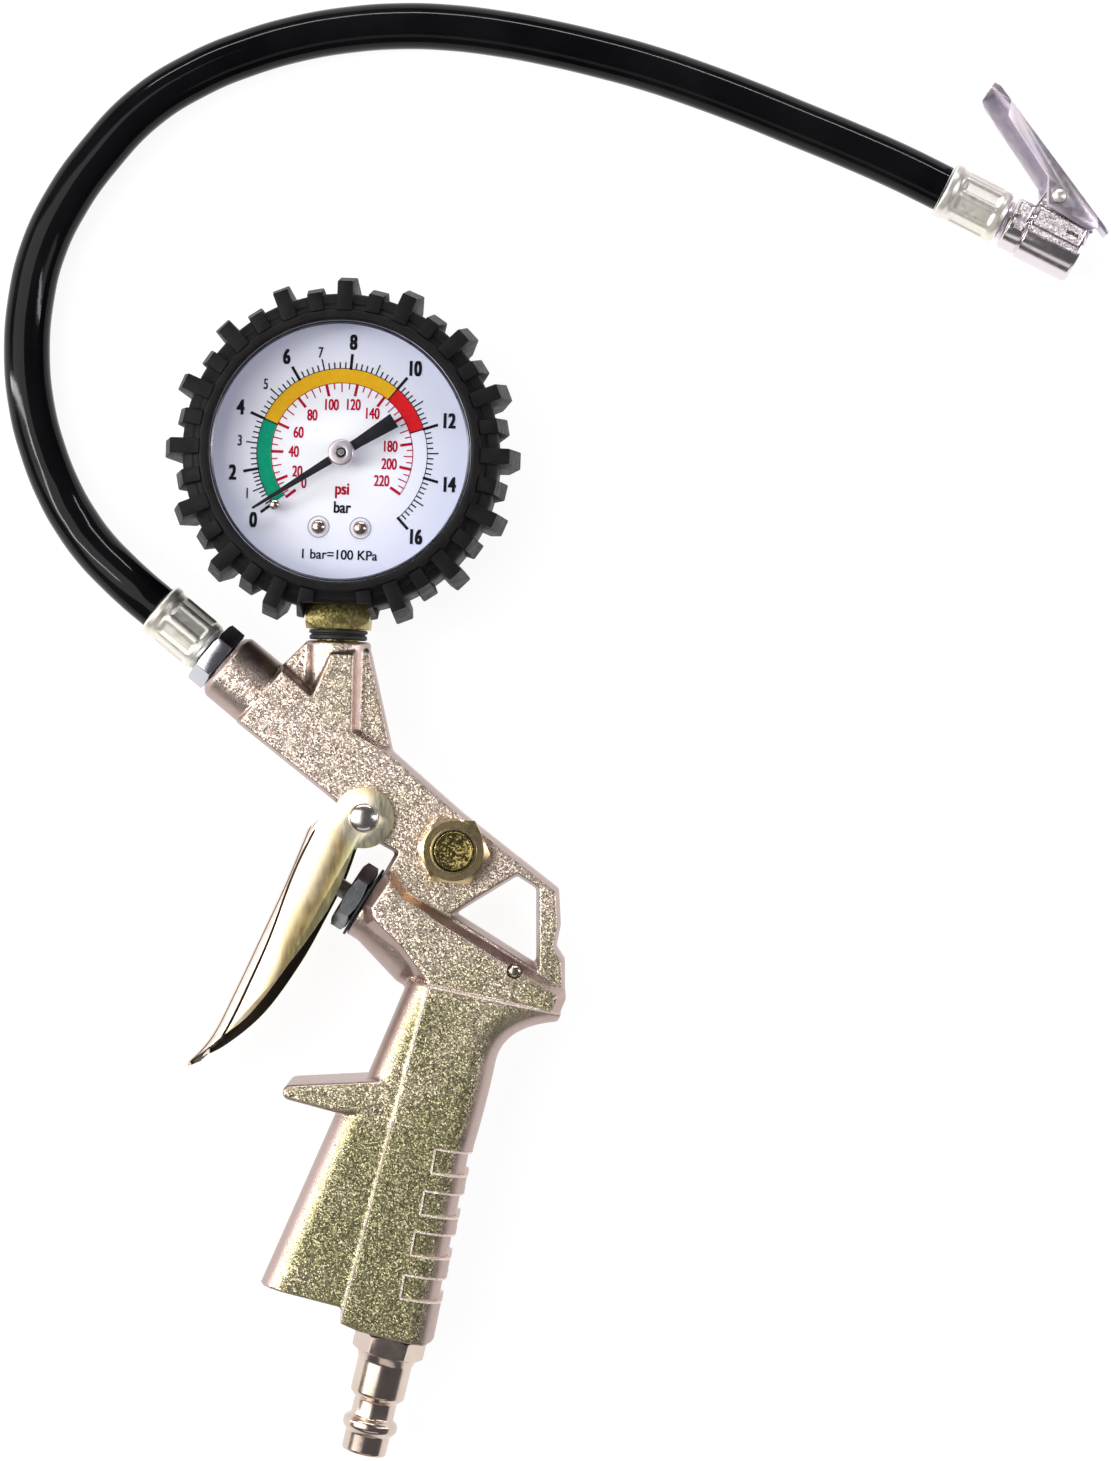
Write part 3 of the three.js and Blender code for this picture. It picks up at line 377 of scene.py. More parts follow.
def dial_material():
    """White printed dial, with a lavender tone towards its rim that is painted shade from the rim and a
    painted reflection of the lens, and a faint blue glow that is painted light.
    """
    n = Nodes("dial_white")
    # The palest spot is set towards the side that the rim shades most, so this tone is painted light and
    # shade.
    painted_light_centre = GAUGE @ Vector((-5, 1, DIAL_TOP)) * MM
    reach = n.math("MULTIPLY", n.measure("DISTANCE", n.place(), tuple(painted_light_centre)), 29.0)
    tone = n.ramp(reach, [(0.3, (1.0, 1.0, 1.0)), (0.6, (0.91, 0.92, 1.0)), (0.95, (0.77, 0.80, 1.0))])
    # The emission is a painted glow that lifts the dial out of the rim's shade.
    return n.finished(Base_Color=tone, Roughness=0.45, Normal=n.bump(n.noise(1200.0), 0.000004),
                      Emission_Color=(0.62, 0.68, 1.0), Emission_Strength=0.16, Specular_IOR_Level=0.1)


def print_material(name, *color):
    n = Nodes(name)
    light = tuple(min(1.0, c * 1.12 + 0.004) for c in color)
    tone = n.ramp(n.noise(900.0), [(0.3, color), (0.7, light)])
    return n.finished(Base_Color=tone, Roughness=0.5, Specular_IOR_Level=0.08)


def lens_material():
    n = Nodes("lens")
    return n.finished(Base_Color=(0.1, 0.12, 0.2), Alpha=0.015, Specular_IOR_Level=0.2,
                      Roughness=n.spread(n.noise(40.0), 0.02, 0.06))


PLATED = {
    "dark_steel": ((0.2, 0.21, 0.23), 0.34, (0.3, 0.3, 0.31), 1500, 0.00005),
    "nickel": ((0.66, 0.53, 0.47), 0.2, (0.72, 0.62, 0.5)),
    "ferrule": ((0.96, 0.93, 0.82), 0.42, (0.92, 0.89, 0.84)),
    "chrome": ((0.55, 0.56, 0.62), 0.16, (0.62, 0.62, 0.66)),
    "silver": ((0.76, 0.70, 0.83), 0.34, (0.88, 0.77, 0.80), 2600, 0.00002),
    "brass": ((0.66, 0.52, 0.24), 0.22, (0.76, 0.58, 0.36), 1100, 0.000008),
    "rivet": ((0.80, 0.73, 0.70), 0.2, (0.72, 0.66, 0.62)),
    "rim": ((0.25, 0.25, 0.28), 0.3, (0.3, 0.3, 0.32)),
    "spring_steel": ((0.55, 0.55, 0.57), 0.25, (0.62, 0.62, 0.6)),
}
GRAINED = {
    # The mould lines' pale colour is a painted highlight along their edges.
    "casting_edge": ((0.95, 0.82, 0.76), (0.95, 0.86, 0.76), 7000.0, 1.0, 0.6),
    "socket_brass": ((0.34, 0.30, 0.10), (0.52, 0.43, 0.18), 2600.0, 0.2, 0.34),
    "dark_brass": ((0.17, 0.14, 0.05), (0.34, 0.27, 0.10), 3000.0, 0.34, 0.24),
}
PRINTED = {
    "print_black": (0.008, 0.008, 0.01), "print_red": (0.5, 0.0, 0.03), "print_grey": (0.36, 0.36, 0.42),
    "print_green": (0.0, 0.36, 0.2), "print_yellow": (1.0, 0.52, 0.01),
    "print_band_red": (0.85, 0.012, 0.018),
}


def add_materials():
    made = {
        "casting": casting_material(), "chuck_cast": chuck_material(), "trigger_zinc": trigger_material(),
        "rubber": rubber_material(), "seal_rubber": seal_material(), "hose": hose_material(),
        "black_paint": paint_material(), "dial_white": dial_material(), "lens": lens_material(),
    }
    for make, looks in ((plated, PLATED), (grained, GRAINED), (print_material, PRINTED)):
        made.update({name: make(name, *look) for name, look in looks.items()})
    return made


# ---------- shapes ----------

def axis_frame(x, y, z, angle):
    """Local Z lies in the XY plane at the angle, local X is beside it and local Y points up."""
    turn = math.radians(angle)
    return Matrix((
        (-math.sin(turn), 0, math.cos(turn), x),
        (math.cos(turn), 0, math.sin(turn), y),
        (0, 1, 0, z),
        (0, 0, 0, 1),
    ))


def gauge_frame():
    x, y, _, angle = GAUGE_PORT
    turn = math.radians(angle)
    centre = Vector((x + GAUGE_REACH * math.cos(turn), y + GAUGE_REACH * math.sin(turn), 0))
    return Matrix.Translation(centre) @ Matrix.Rotation(turn - math.pi / 2, 4, "Z")


GUN = Matrix.Translation((0, 0, MID_PLANE))
GAUGE = gauge_frame()


def around(radius, turn):
    """A point at a distance from the centre, at an angle in radians."""
    return radius * math.cos(turn), radius * math.sin(turn)


def polar(radius, degrees):
    return around(radius, math.radians(degrees))


def rect(left, low, right, high):
    return [(left, low), (right, low), (right, high), (left, high)]


def quads(lower, upper):
    """Four-cornered faces between two rings with as many points."""
    pairs = list(zip(lower, upper))
    return [(a, c, d, b) for (a, b), (c, d) in zip(pairs, pairs[1:] + pairs[:1])]


def mesh_from(verts, faces):
    mesh = bpy.data.meshes.new("shape")
    mesh.from_pydata([tuple(v) for v in verts], [], faces)
    mesh.validate()
    return mesh


def rounded(points, radius, steps=3, closed=True):
    """The points of a line with each corner turned into a curve of about that radius."""
    out = []
    count = len(points)
    for index in range(count):
        here = Vector(points[index])
        if not closed and index in (0, count - 1):
            out.append(tuple(here))
            continue
        back = Vector(points[index - 1]) - here
        ahead = Vector(points[(index + 1) % count]) - here
        cut = min(radius, back.length * 0.45, ahead.length * 0.45)
        if cut < 1e-4:
            out.append(tuple(here))
            continue
        start = here + back.normalized() * cut
        end = here + ahead.normalized() * cut
        for step in range(steps + 1):
            t = step / steps
            out.append(tuple(start * (1 - t) ** 2 + here * 2 * t * (1 - t) + end * t * t))
    return out


def lathe(profile, segments=96, soften=0.0):
    """A solid of revolution about Z from [radius, height] pairs that start and end on the axis,
    or that close on themselves."""
    closed = profile[0] == profile[-1]
    points = profile[:-1] if closed else profile
    if soften:
        points = rounded(points, soften, 3, closed)
    verts = []
    rows = []
    for radius, height in points:
        if radius < 1e-6:
            rows.append([len(verts)] * segments)
            verts.append((0, 0, height))
            continue
        rows.append(list(range(len(verts), len(verts) + segments)))
        verts += [(*around(radius, step * TURN / segments), height) for step in range(segments)]
    pairs = list(zip(rows, rows[1:]))
    if closed:
        pairs.append((rows[-1], rows[0]))
    faces = [list(dict.fromkeys(face)) for low, high in pairs for face in quads(low, high)]
    return mesh_from(verts, [face for face in faces if len(face) > 2])


def rod(radius, low, high, segments=96, soften=0.0):
    return lathe([(0, low), (radius, low), (radius, high), (0, high)], segments, soften)


def tube(inner, outer, low, high, soften=0.0):
    profile = [(inner, low), (outer, low), (outer, high), (inner, high), (inner, low)]
    return lathe(profile, 96, soften)


def inset(points, amount):
    """The closed outline moved inwards, corner by corner. The points run anticlockwise."""
    out = []
    count = len(points)
    for index, (x, y) in enumerate(points):
        before = (Vector((x, y)) - Vector(points[index - 1])).normalized()
        after = (Vector(points[(index + 1) % count]) - Vector((x, y))).normalized()
        first = Vector((-before.y, before.x))
        second = Vector((-after.y, after.x))
        lean = first + second
        reach = amount / max(0.35, lean.length_squared / 2)
        out.append((x + lean.x * reach, y + lean.y * reach))
    return out


def area_of(points):
    return sum(a[0] * b[1] - b[0] * a[1] for a, b in zip(points, points[1:] + points[:1])) / 2


def loft(points, levels):
    """A solid from one outline at several heights: levels is a list of (height, inset)."""
    if area_of(points) < 0:
        points = points[::-1]
    count = len(points)
    verts = []
    for height, amount in levels:
        verts += [(x, y, height) for x, y in inset(points, amount)]
    rows = [list(range(base, base + count)) for base in range(0, len(verts), count)]
    faces = [rows[0][::-1]]
    for lower, upper in zip(rows, rows[1:]):
        faces += quads(lower, upper)
    return mesh_from(verts, [*faces, rows[-1]])


def plate(points, half, edge=0.0, rise=None, steps=1):
    """A flat solid between -half and half, its edges broken or rounded by the given inset."""
    return slab(points, -half, half, edge, rise, steps)


def slab(points, low, high, edge=0.0, rise=None, steps=1):
    rise = edge if rise is None else rise
    if not edge:
        return loft(points, [(low, 0), (high, 0)])
    lower = []
    for step in range(steps + 1):
        inward, upward = around(1, step / steps * math.pi / 2)
        lower.append((low + rise * (1 - inward), edge * (1 - upward)))
    upper = [(high + low - height, amount) for height, amount in lower[::-1]]
    return loft(points, lower + upper)


def moved(mesh, matrix):
    mesh.transform(matrix)
    return mesh


def shifted(mesh, x=0.0, y=0.0, z=0.0):
    return moved(mesh, Matrix.Translation((x, y, z)))


def spun(mesh, turn):
    return moved(mesh, Matrix.Rotation(turn, 4, "Z"))


def circle(radius, x=0.0, y=0.0, segments=64, start=0.0, sweep=360.0):
    full = abs(sweep) >= 360
    arc = [polar(radius, start + sweep * step / segments) for step in range(segments + (not full))]
    return [(x + dx, y + dy) for dx, dy in arc]


def baked(host):
    bpy.context.view_layer.update()
    graph = bpy.context.evaluated_depsgraph_get()
    return bpy.data.meshes.new_from_object(host.evaluated_get(graph))


def modified(mesh, steps):
    """The mesh after its modifiers, each given as a kind and its settings."""
    host = linked("host", mesh)
    for kind, settings in steps:
        modifier = host.modifiers.new("step", kind)
        for key, value in settings.items():
            setattr(modifier, key, value)
    result = baked(host)
    bpy.data.objects.remove(host)
    return result


def with_modifier(mesh, kind, **settings):
    return modified(mesh, [(kind, settings)])


def boolean(mesh, others, operation):
    """The mesh joined with, cut by or limited to each of the others."""
    tools = [linked("tool", other) for other in others]
    settings = [{"operation": operation, "solver": "MANIFOLD", "object": tool} for tool in tools]
    result = modified(mesh, [("BOOLEAN", values) for values in settings])
    for tool in tools:
        bpy.data.objects.remove(tool)
    return result


def joined(*meshes):
    return boolean(meshes[0], meshes[1:], "UNION")


def cut(mesh, *others):
    return boolean(mesh, others, "DIFFERENCE")


def kept(mesh, *others):
    return boolean(mesh, others, "INTERSECT")


def gathered(meshes):
    """Several meshes in one, without a boolean."""
    build = bmesh.new()
    for mesh in meshes:
        build.from_mesh(mesh)
    result = bpy.data.meshes.new("gathered")
    build.to_mesh(result)
    build.free()
    return result


def softened(mesh, width, segments=2, angle=28):
    return with_modifier(
        mesh, "BEVEL", width=width, segments=segments, limit_method="ANGLE",
        angle_limit=math.radians(angle), use_clamp_overlap=True,
    )


def coil_mesh(radius, wire, low, high, turns):
    """A coil spring about Z, with closed ends."""
    sides = 10
    steps = turns * 28
    verts = []
    for step in range(steps + 1):
        angle = step * turns * TURN / steps
        height = low + wire + (high - low - 2 * wire) * step / steps
        for side in range(sides):
            outward, upward = around(wire, side * TURN / sides)
            verts.append((*around(radius + outward, angle), height + upward))
    rings = [list(range(first, first + sides)) for first in range(0, len(verts), sides)]
    faces = [rings[0], rings[-1][::-1]]
    for ring, after in zip(rings, rings[1:]):
        faces += quads(after, ring)
    return mesh_from(verts, faces)


def hex_nut(across_flats, low, high, chamfer):
    corner = across_flats / math.sqrt(3)
    crown = lathe([
        (0, low), (corner - chamfer, low), (corner, low + chamfer * 0.5),
        (corner, high - chamfer * 0.5), (corner - chamfer, high), (0, high),
    ], 96)
    prism = slab(rounded(circle(corner, segments=6), 0.25, 2), low, high)
    return kept(prism, crown)


def piece(name, mesh, where, material, *nodes, body="gun", slot=None, smooth=32):
    """Puts a mesh drawn in millimetres in its place as a piece that stands for the CAD nodes."""
    mesh.transform(Matrix.Scale(MM, 4) @ where)
    mesh.polygons.foreach_set("use_smooth", [True] * len(mesh.polygons))
    mesh.set_sharp_from_angle(angle=math.radians(smooth))
    mesh.materials.clear()
    mesh.materials.append(MATERIALS[material])
    made = linked(name, mesh)
    mesh.name = name
    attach(made, body)
    if nodes:
        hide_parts(*nodes)
    return made


# ---------- hose ----------

def add_hose():
    data = bpy.data.curves.new("hose_tube", "CURVE")
    data.dimensions = "3D"
    data.bevel_depth = HOSE_DIAMETER / 2 * MM
    data.bevel_resolution = 12
    data.resolution_u = 8
    data.use_fill_caps = True
    spline = data.splines.new("BEZIER")
    spline.bezier_points.add(len(HOSE_ROUTE) - 1)
    for point, at in zip(spline.bezier_points, HOSE_ROUTE):
        point.co = Vector(at) * MM
        point.handle_left_type = "AUTO"
        point.handle_right_type = "AUTO"
    data.materials.append(MATERIALS["hose"])
    hose = linked("hose_tube", data)
    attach(hose, "gun")
    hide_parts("hose")
    return hose


# ---------- the gun's casting ----------

def arm_outline():
    """The arm as seen from above, from inside the hose's barrel to the frame's far end."""
    x, y, _, angle = HOSE_PORT
    along = Vector(polar(-1, angle))
    across = Vector((-along.y, along.x)) * ARM_WIDTH / 2
    start = Vector((x, y)) + along * 10.5
    return [
        tuple(start - across), (-6.7, 15.4), (3.6, 5.7), (6.9, 3.9), (4.2, -0.8), (9, -10),
        (36, -26.6), (44.4, -26.6), (44.4, -19.9), (42.5, -16.9), (43.5, -12.0), (43.1, -4.3),
        (21.8, 12.5), (6.4, 26.1), (-1.8, 31.0), (-1.4, 48.6), (-7.6, 48.6), (-11.6, 39.7),
        tuple(start + across),
    ]


BREECH_OUTLINE = [
    (6.4, 0.6), (4.5, -0.7), (-0.2, -7.6), (0.6, -11.6), (6.8, -17.6), (12.0, -24.6), (14.0, -29.0),
    (41.0, -33.3), (42.5, -33.2), (44.6, -28.2), (44.4, -26.0), (9.6, -4.6),
]
GRIP_CUT = [
    (-45, -22.6), (5.5, -22.6), (15.2, -25.2), (43.6, -31.5), (42.5, -33.6), (60, -60), (60, -92),
    (14.8, -103.7), (13.3, -104.3), (-0.9, -100.8), (-4.9, -99.0), (-4.7, -95.6), (-22.8, -90.9),
    (-45, -85),
]
PANEL_CUT = [
    (14.4, -25.0), (43.6, -31.5), (42.5, -33.6), (60, -60), (60, -92), (14.8, -103.7),
    (13.3, -104.3), (-0.9, -100.8), (-4.9, -99.0),
]
FRAME_OPENING = [(20.3, -9.6), (38.0, -20.8), (38.0, -4.1), (33.8, -1.4)]
GROOVE_TOPS = [(16.0, -60.8), (13.6, -69.9), (11.5, -78.8), (9.2, -88.3)]


def bezier(start, control, end, steps=10):
    points = []
    for step in range(1, steps + 1):
        t = step / steps
        points.append(tuple(
            a * (1 - t) ** 2 + b * 2 * t * (1 - t) + c * t * t for a, b, c in zip(start, control, end)
        ))
    return points


def grip_outline():
    back = [(12.8, -116), (23.9, -62.1)]
    back += bezier(back[-1], (27.3, -51.0), (29.2, -41.6))
    back += bezier(back[-1], (31.5, -33.2), (46, -33.2))
    return [(14.5, -14), (9.0, -25.9), (0.5, -45.8), (-6.0, -52.9), (-27.3, -101), *back,
            (56, -33.2), (56, -14)]


def grip_mesh():
    front = kept(plate(grip_outline(), GRIP_HALF, *GRIP_EDGE), plate(GRIP_CUT, 20))
    rear = kept(plate(grip_outline(), PANEL_HALF, *GRIP_EDGE), plate(PANEL_CUT, 20))
    return joined(front, rear)


def groove_mesh():
    """What the shallow finger grooves take out of the grip's rear edge."""
    blocks = joined(*[
        plate([(x, y), (x + 26, y - 4.4), (x + 24.8, y - 9.6), (x - 1.0, y - 5.2)], 20)
        for x, y in GROOVE_TOPS
    ])
    depth = 0.7
    inner = slab(
        inset(grip_outline(), depth), -PANEL_HALF + depth, PANEL_HALF - depth, 5.4, 6.4, 12,
    )
    return cut(blocks, inner)


def bar(start, end, width):
    """A straight strip between two points of the outline plane, through the whole grip."""
    side = (Vector(end) - Vector(start)).normalized() * width / 2
    ends = [(start[0] + side.y, start[1] - side.x), (end[0] + side.y, end[1] - side.x)]
    return plate(ends + [(x - 2 * side.y, y + 2 * side.x) for x, y in ends[::-1]], 20)


def ridge_mesh():
    """The crisp raised lines of the mould's joints: round each groove and down the grip."""
    width = 0.42
    bars = [bar((14.5, -25.3), (9.5, -44.2), width), bar((6.6, -54.6), (-4.7, -98.0), width),
            bar((14.6, -25.2), (43.0, -31.4), width)]
    for x, y in GROOVE_TOPS:
        bars += [bar((x, y), (x - 1.0, y - 5.2), width), bar((x, y), (x + 12, y - 2.0), width),
                 bar((x - 1.0, y - 5.2), (x + 11, y - 7.2), width)]
    raised = 0.12
    skin = slab(inset(grip_outline(), -raised), -PANEL_HALF - raised, PANEL_HALF + raised, *GRIP_EDGE)
    return joined(*[kept(line, skin) for line in bars])


def spur_mesh():
    tip = circle(1.7, -15.9, -48.5, 8, 90, 162)
    return plate([(8.8, -45.6), *tip, (-6.0, -52.9), (6.9, -53.8)], GRIP_HALF, 0.9, 0.9, 3)


def at_port(port, mesh):
    """A mesh turned about Z, brought onto a port's axis in the gun's own frame."""
    return moved(mesh, Matrix.Translation((0, 0, -MID_PLANE)) @ axis_frame(*port))


def ports():
    """What is drilled out of the casting for the pieces that it holds."""
    return [
        at_port(HOSE_PORT, rod(4.95, -10.5, 1)),
        at_port(VALVE_PORT, rod(5.6, -12, 1)),
        at_port(VALVE_PORT, rod(5.0, -34.5, 0)),
        at_port(GAUGE_PORT, rod(5.05, -11.5, 1)),
        at_port(INLET_PORT, rod(6.85, -11, 2)),
        shifted(rod(5.2, -4.5, ARM_HALF + 1), *BLEED),
        shifted(rod(8.5, ARM_HALF - 0.35, ARM_HALF + 1), *BLEED),
        shifted(rod(1.7, 8.4, BREECH_HALF + 1), *AIRWAY_PLUG),
        shifted(rod(2.2, -20, 20), *PIVOT),
    ]


def casting_mesh():
    """The whole casting as one skin with every edge a little rounded, as it comes out of its mould,
    with the grooves and ports cut into it."""
    hose_barrel = lathe([(0, -24), (ARM_WIDTH / 2, -24), (ARM_WIDTH / 2, -1.2), (7.1, 0), (0, 0)])
    valve_barrel = lathe([(0, -36), (11.0, -36), (11.0, -15), (7.85, -3), (7.85, 0), (0, 0)])
    valve_side = plate([(-9, -18), (9, -30), (30, -36), (46, -27), (4.2, -0.8), (-2, 4)], 20)
    boss = lathe([(0, -20), (7.35, -20), (7.35, -0.5), (6.9, 0), (0, 0)])
    body = joined(
        plate(arm_outline(), ARM_HALF, 0.8, 3.0),
        plate(BREECH_OUTLINE, BREECH_HALF, 2.1, 3.6),
        plate(circle(5.2, *PIVOT), ARM_HALF),
        at_port(GAUGE_PORT, boss),
        plate([(-18.6, 45.2), (-10, 40.2), (-10, 50.3), (-13.2, 50.3), (-17.4, 46.2)], 3),
        plate([(1.2, 48.8), (-3, 48.8), (-3, 28), (6.2, 26.0)], 4.5, 0.5),
        at_port(HOSE_PORT, hose_barrel),
        kept(at_port(VALVE_PORT, valve_barrel), valve_side),
        grip_mesh(),
        spur_mesh(),
    )
    half = ARM_HALF + 1
    opening = loft(FRAME_OPENING, [(-half, -0.9), (-1.5, 0), (1.5, 0), (half, -0.9)])
    skin = with_modifier(cut(body, opening), "REMESH", mode="VOXEL", voxel_size=CASTING_VOXEL)
    skin = with_modifier(skin, "SMOOTH", factor=0.5, iterations=3)
    skin = with_modifier(skin, "DECIMATE", ratio=CASTING_FACES)
    return cut(skin, groove_mesh(), *ports())


def add_casting():
    piece("casting", casting_mesh(), GUN, "casting", "gun_body", smooth=60)
    plug = lathe([(0, 8.8), (1.35, 8.8), (1.35, 11.2), (0.9, 11.55), (0, 11.65)], 40, 0.15)
    # The raised mould lines take a pale colour: a painted highlight.
    piece("casting_ridges", ridge_mesh(), GUN, "casting_edge")
    piece("airway_plug_head", shifted(plug, *AIRWAY_PLUG), GUN, "nickel", "airway_plug")


# ---------- trigger ----------

SHEET = 1.4
EAR_INNER = 8.3
TRIGGER_FRONT = [
    (-12.4, 9.1), (-17.4, -2.8), (-23.0, -14.8), (-28.0, -25.4), (-33.4, -36.0), (-38.9, -42.2),
]
TRIGGER_REAR = [
    (-38.3, -42.9), (-31.6, -39.6), (-22.9, -32.3), (-14.8, -21.2), (-9.3, -11.4), (-4.9, -2.8),
    (-2.2, 4.6),
]
UPPER_CHEEK_REAR = [
    (-38.0, -41.9), (-30.8, -36.2), (-25.8, -32.3), (-21.0, -26.7), (-16.4, -20.4), (-12.2, -14.9),
    (-6.0, -5.5), (-1.9, 4.9),
]
CREASE = [(-10.4, 9.5), (-15.2, -0.3), (-20.4, -14.3), (-24.8, -24.3), (-28.4, -31.9), (-31.0, -36.6)]


def smooth_line(points, steps=6):
    """A curve through the points, as a finer line."""
    out = []
    last = len(points) - 1
    for index in range(last):
        p0, p1, p2, p3 = (Vector(points[min(max(index + k, 0), last)]) for k in (-1, 0, 1, 2))
        for step in range(steps):
            t = step / steps
            out.append(tuple(0.5 * (
                2 * p1 + (p2 - p0) * t + (2 * p0 - 5 * p1 + 4 * p2 - p3) * t ** 2
                + (3 * p1 - p0 - 3 * p2 + p3) * t ** 3
            )))
    return out + [tuple(points[-1])]


def channel(front, rest, half, bend):
    """A solid between -half and half whose front edges are bent round by the given radius."""
    mesh = plate(front + rest, half)
    build = bmesh.new()
    build.from_mesh(mesh)
    places = {(round(x, 3), round(y, 3)) for x, y in front}
    edges = [
        edge for edge in build.edges
        if all((round(v.co.x, 3), round(v.co.y, 3)) in places for v in edge.verts)
        and abs(edge.verts[0].co.z - edge.verts[1].co.z) < 1e-6
    ]
    bmesh.ops.bevel(build, geom=edges, offset=bend, segments=6, profile=0.5, affect="EDGES")
    build.to_mesh(mesh)
    build.free()
    return mesh


def ribbon(line, width):
    """The outline of a thin band along a line, pointed at its ends."""
    left = []
    right = []
    for index, (x, y) in enumerate(line):
        ahead = Vector(line[min(index + 1, len(line) - 1)]) - Vector(line[max(index - 1, 0)])
        side = Vector((-ahead.y, ahead.x)).normalized() * width / 2
        taper = 0.2 if index in (0, len(line) - 1) else 1.0
        left.append((x + side.x * taper, y + side.y * taper))
        right.append((x - side.x * taper, y - side.y * taper))
    return left + right[::-1]


def trigger_mesh():
    front = smooth_line(TRIGGER_FRONT)
    rear = smooth_line(TRIGGER_REAR)
    ear = circle(6.7, *PIVOT, 40, -100, 250)
    outer = channel(front, rear + ear, EAR_INNER + SHEET, 1.9)
    shift = (1.3, -0.6)
    inside = [(x + shift[0], y + shift[1]) for x, y in front]
    inside[-1] = (inside[-1][0] - 3, inside[-1][1] - 3.5)
    inside[0] = (inside[0][0] + 0.2, inside[0][1] + 12)
    hollow = channel(inside, [(-20, -70), (60, -20), (60, 60), (0, 60)], EAR_INNER, 1.2)
    hole = shifted(rod(2.2, -20, 20), *PIVOT)
    upper_rear = smooth_line(UPPER_CHEEK_REAR)
    trimmed = slab([*upper_rear, (1, 4.0), (20, -20), (-30, -60)], EAR_INNER - 0.1, 20)
    crease = slab(ribbon(smooth_line(CREASE), 0.55), EAR_INNER + SHEET - 0.75, 20)
    return softened(cut(outer, hollow, hole, trimmed, crease), 0.2, 2, 40)


def mirrored(profile):
    return [(radius, -height) for radius, height in profile[::-1]]


def dome(radius, base, height, steps=8):
    """A quarter of an ellipse, from the base to the axis."""
    turns = [step / steps * math.pi / 2 for step in range(steps)]
    points = [(radius * math.cos(turn), base + height * math.sin(turn)) for turn in turns]
    return [*points, (0, base + height)]


def add_trigger():
    piece("trigger_channel", trigger_mesh(), GUN, "trigger_zinc", "trigger_lever", body="trigger",
          smooth=38)
    head = EAR_INNER + SHEET + 0.15
    upper = [(2.0, head), *dome(3.25, head + 0.15, 1.3)]
    rivet = shifted(lathe(mirrored(upper) + upper, 64), *PIVOT)
    piece("trigger_rivet", rivet, GUN, "rivet", "trigger_pin", smooth=50)


# ---------- air valve and bleed valve ----------

def add_spring(name, where, radius, wire, low, high, node):
    """A coil spring of five turns between its low and high ends, with a mesh of its own."""
    coil = coil_mesh(radius, wire, low, high, 5)
    spring = piece(name, coil, where, "spring_steel", node, smooth=60)
    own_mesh(spring)


def add_air_valve():
    where = axis_frame(*VALVE_PORT)
    threaded = joined(hex_nut(HEX_WIDTH, 0.9, 4.6, 1.3), rod(5.3, -11, 1.2))
    nut = cut(threaded, rod(2.3, -20, 20), rod(3.9, -12, -8))
    piece("gland_nut_hex", softened(nut, 0.18), where, "dark_steel", "gland_nut")
    washer = tube(5.65, 8.4, 0.12, 0.68, 0.15)
    piece("gland_washer_disc", washer, where, "seal_rubber", "gland_washer")
    rod_mesh = lathe([(0, -16.0), (2, -16.0), (2, 13.4), (1.6, 14.7), (0.7, 15.3), (0, 15.4)], 64, 0.25)
    piece("push_rod_shaft", rod_mesh, where, "dark_steel", "push_rod", body="valve_stem", slot="nickel")
    add_spring("valve_return_coil", where, 3.4, 0.45, -33.9, -19.9, "valve_spring")


def add_bleed_valve():
    where = GUN @ Matrix.Translation((*BLEED, 0))
    base = ARM_HALF - 0.3
    top = ARM_HALF + 4.6
    lip = rod(5.15, top - 1, top + 0.45, soften=0.2)
    nut = joined(hex_nut(HEX_WIDTH, base, top, 1.45), lip, rod(4.9, -0.2, base + 1))
    pocket = lathe([(0, -2), (1.9, -2), (1.9, 4), (3.4, 4), (3.4, 9.3), (4.55, 9.3), (4.7, 20), (0, 20)])
    hexagon = softened(spun(cut(nut, pocket), math.radians(-5.4)), 0.12)
    piece("bleed_hexagon", hexagon, where, "brass", "bleed_nut", smooth=20)
    profile = [
        (0, -2.4), (1.5, -2.4), (1.5, 11.6), (4.4, 11.6), (4.4, 13.0), (4.1, 13.35), (3.7, 13.2),
        (0, 13.1),
    ]
    piece("bleed_push_button", lathe(profile, 96, 0.3), where, "dark_brass", "bleed_button", body="bleed",
          smooth=50)
    add_spring("bleed_return_coil", where, 2.5, 0.35, 4.3, 11.3, "bleed_spring")


# ---------- air inlet ----------

def add_inlet():
    where = axis_frame(*INLET_PORT)
    body = lathe([
        (0, -10.4), (6.5, -10.4), (6.5, 0.9), (7.0, 1.2), (7.0, 4.6), (6.55, 5.6), (6.1, 6.8),
        (6.1, 14.2), (5.1, 15.2), (4.8, 15.5), (4.8, 19.2), (5.6, 19.7), (6.1, 20.3), (6.1, 21.7),
        (5.6, 22.4), (5.05, 22.9), (5.0, 27.0), (4.7, 27.4), (0, 27.4),
    ], 96, 0.35)
    plug = cut(joined(hex_nut(HEX_WIDTH, 0.6, 5.1, 1.2), body), rod(2.8, -20, 40), lathe([
        (0, 26.6), (2.8, 26.6), (3.5, 28), (0, 28),
    ]))
    piece("inlet_connector", softened(plug, 0.16), where, "nickel", "inlet_plug")


# ---------- gauge ----------

LUG_PAIRS = 16
SOCKET_HALF = 7.0


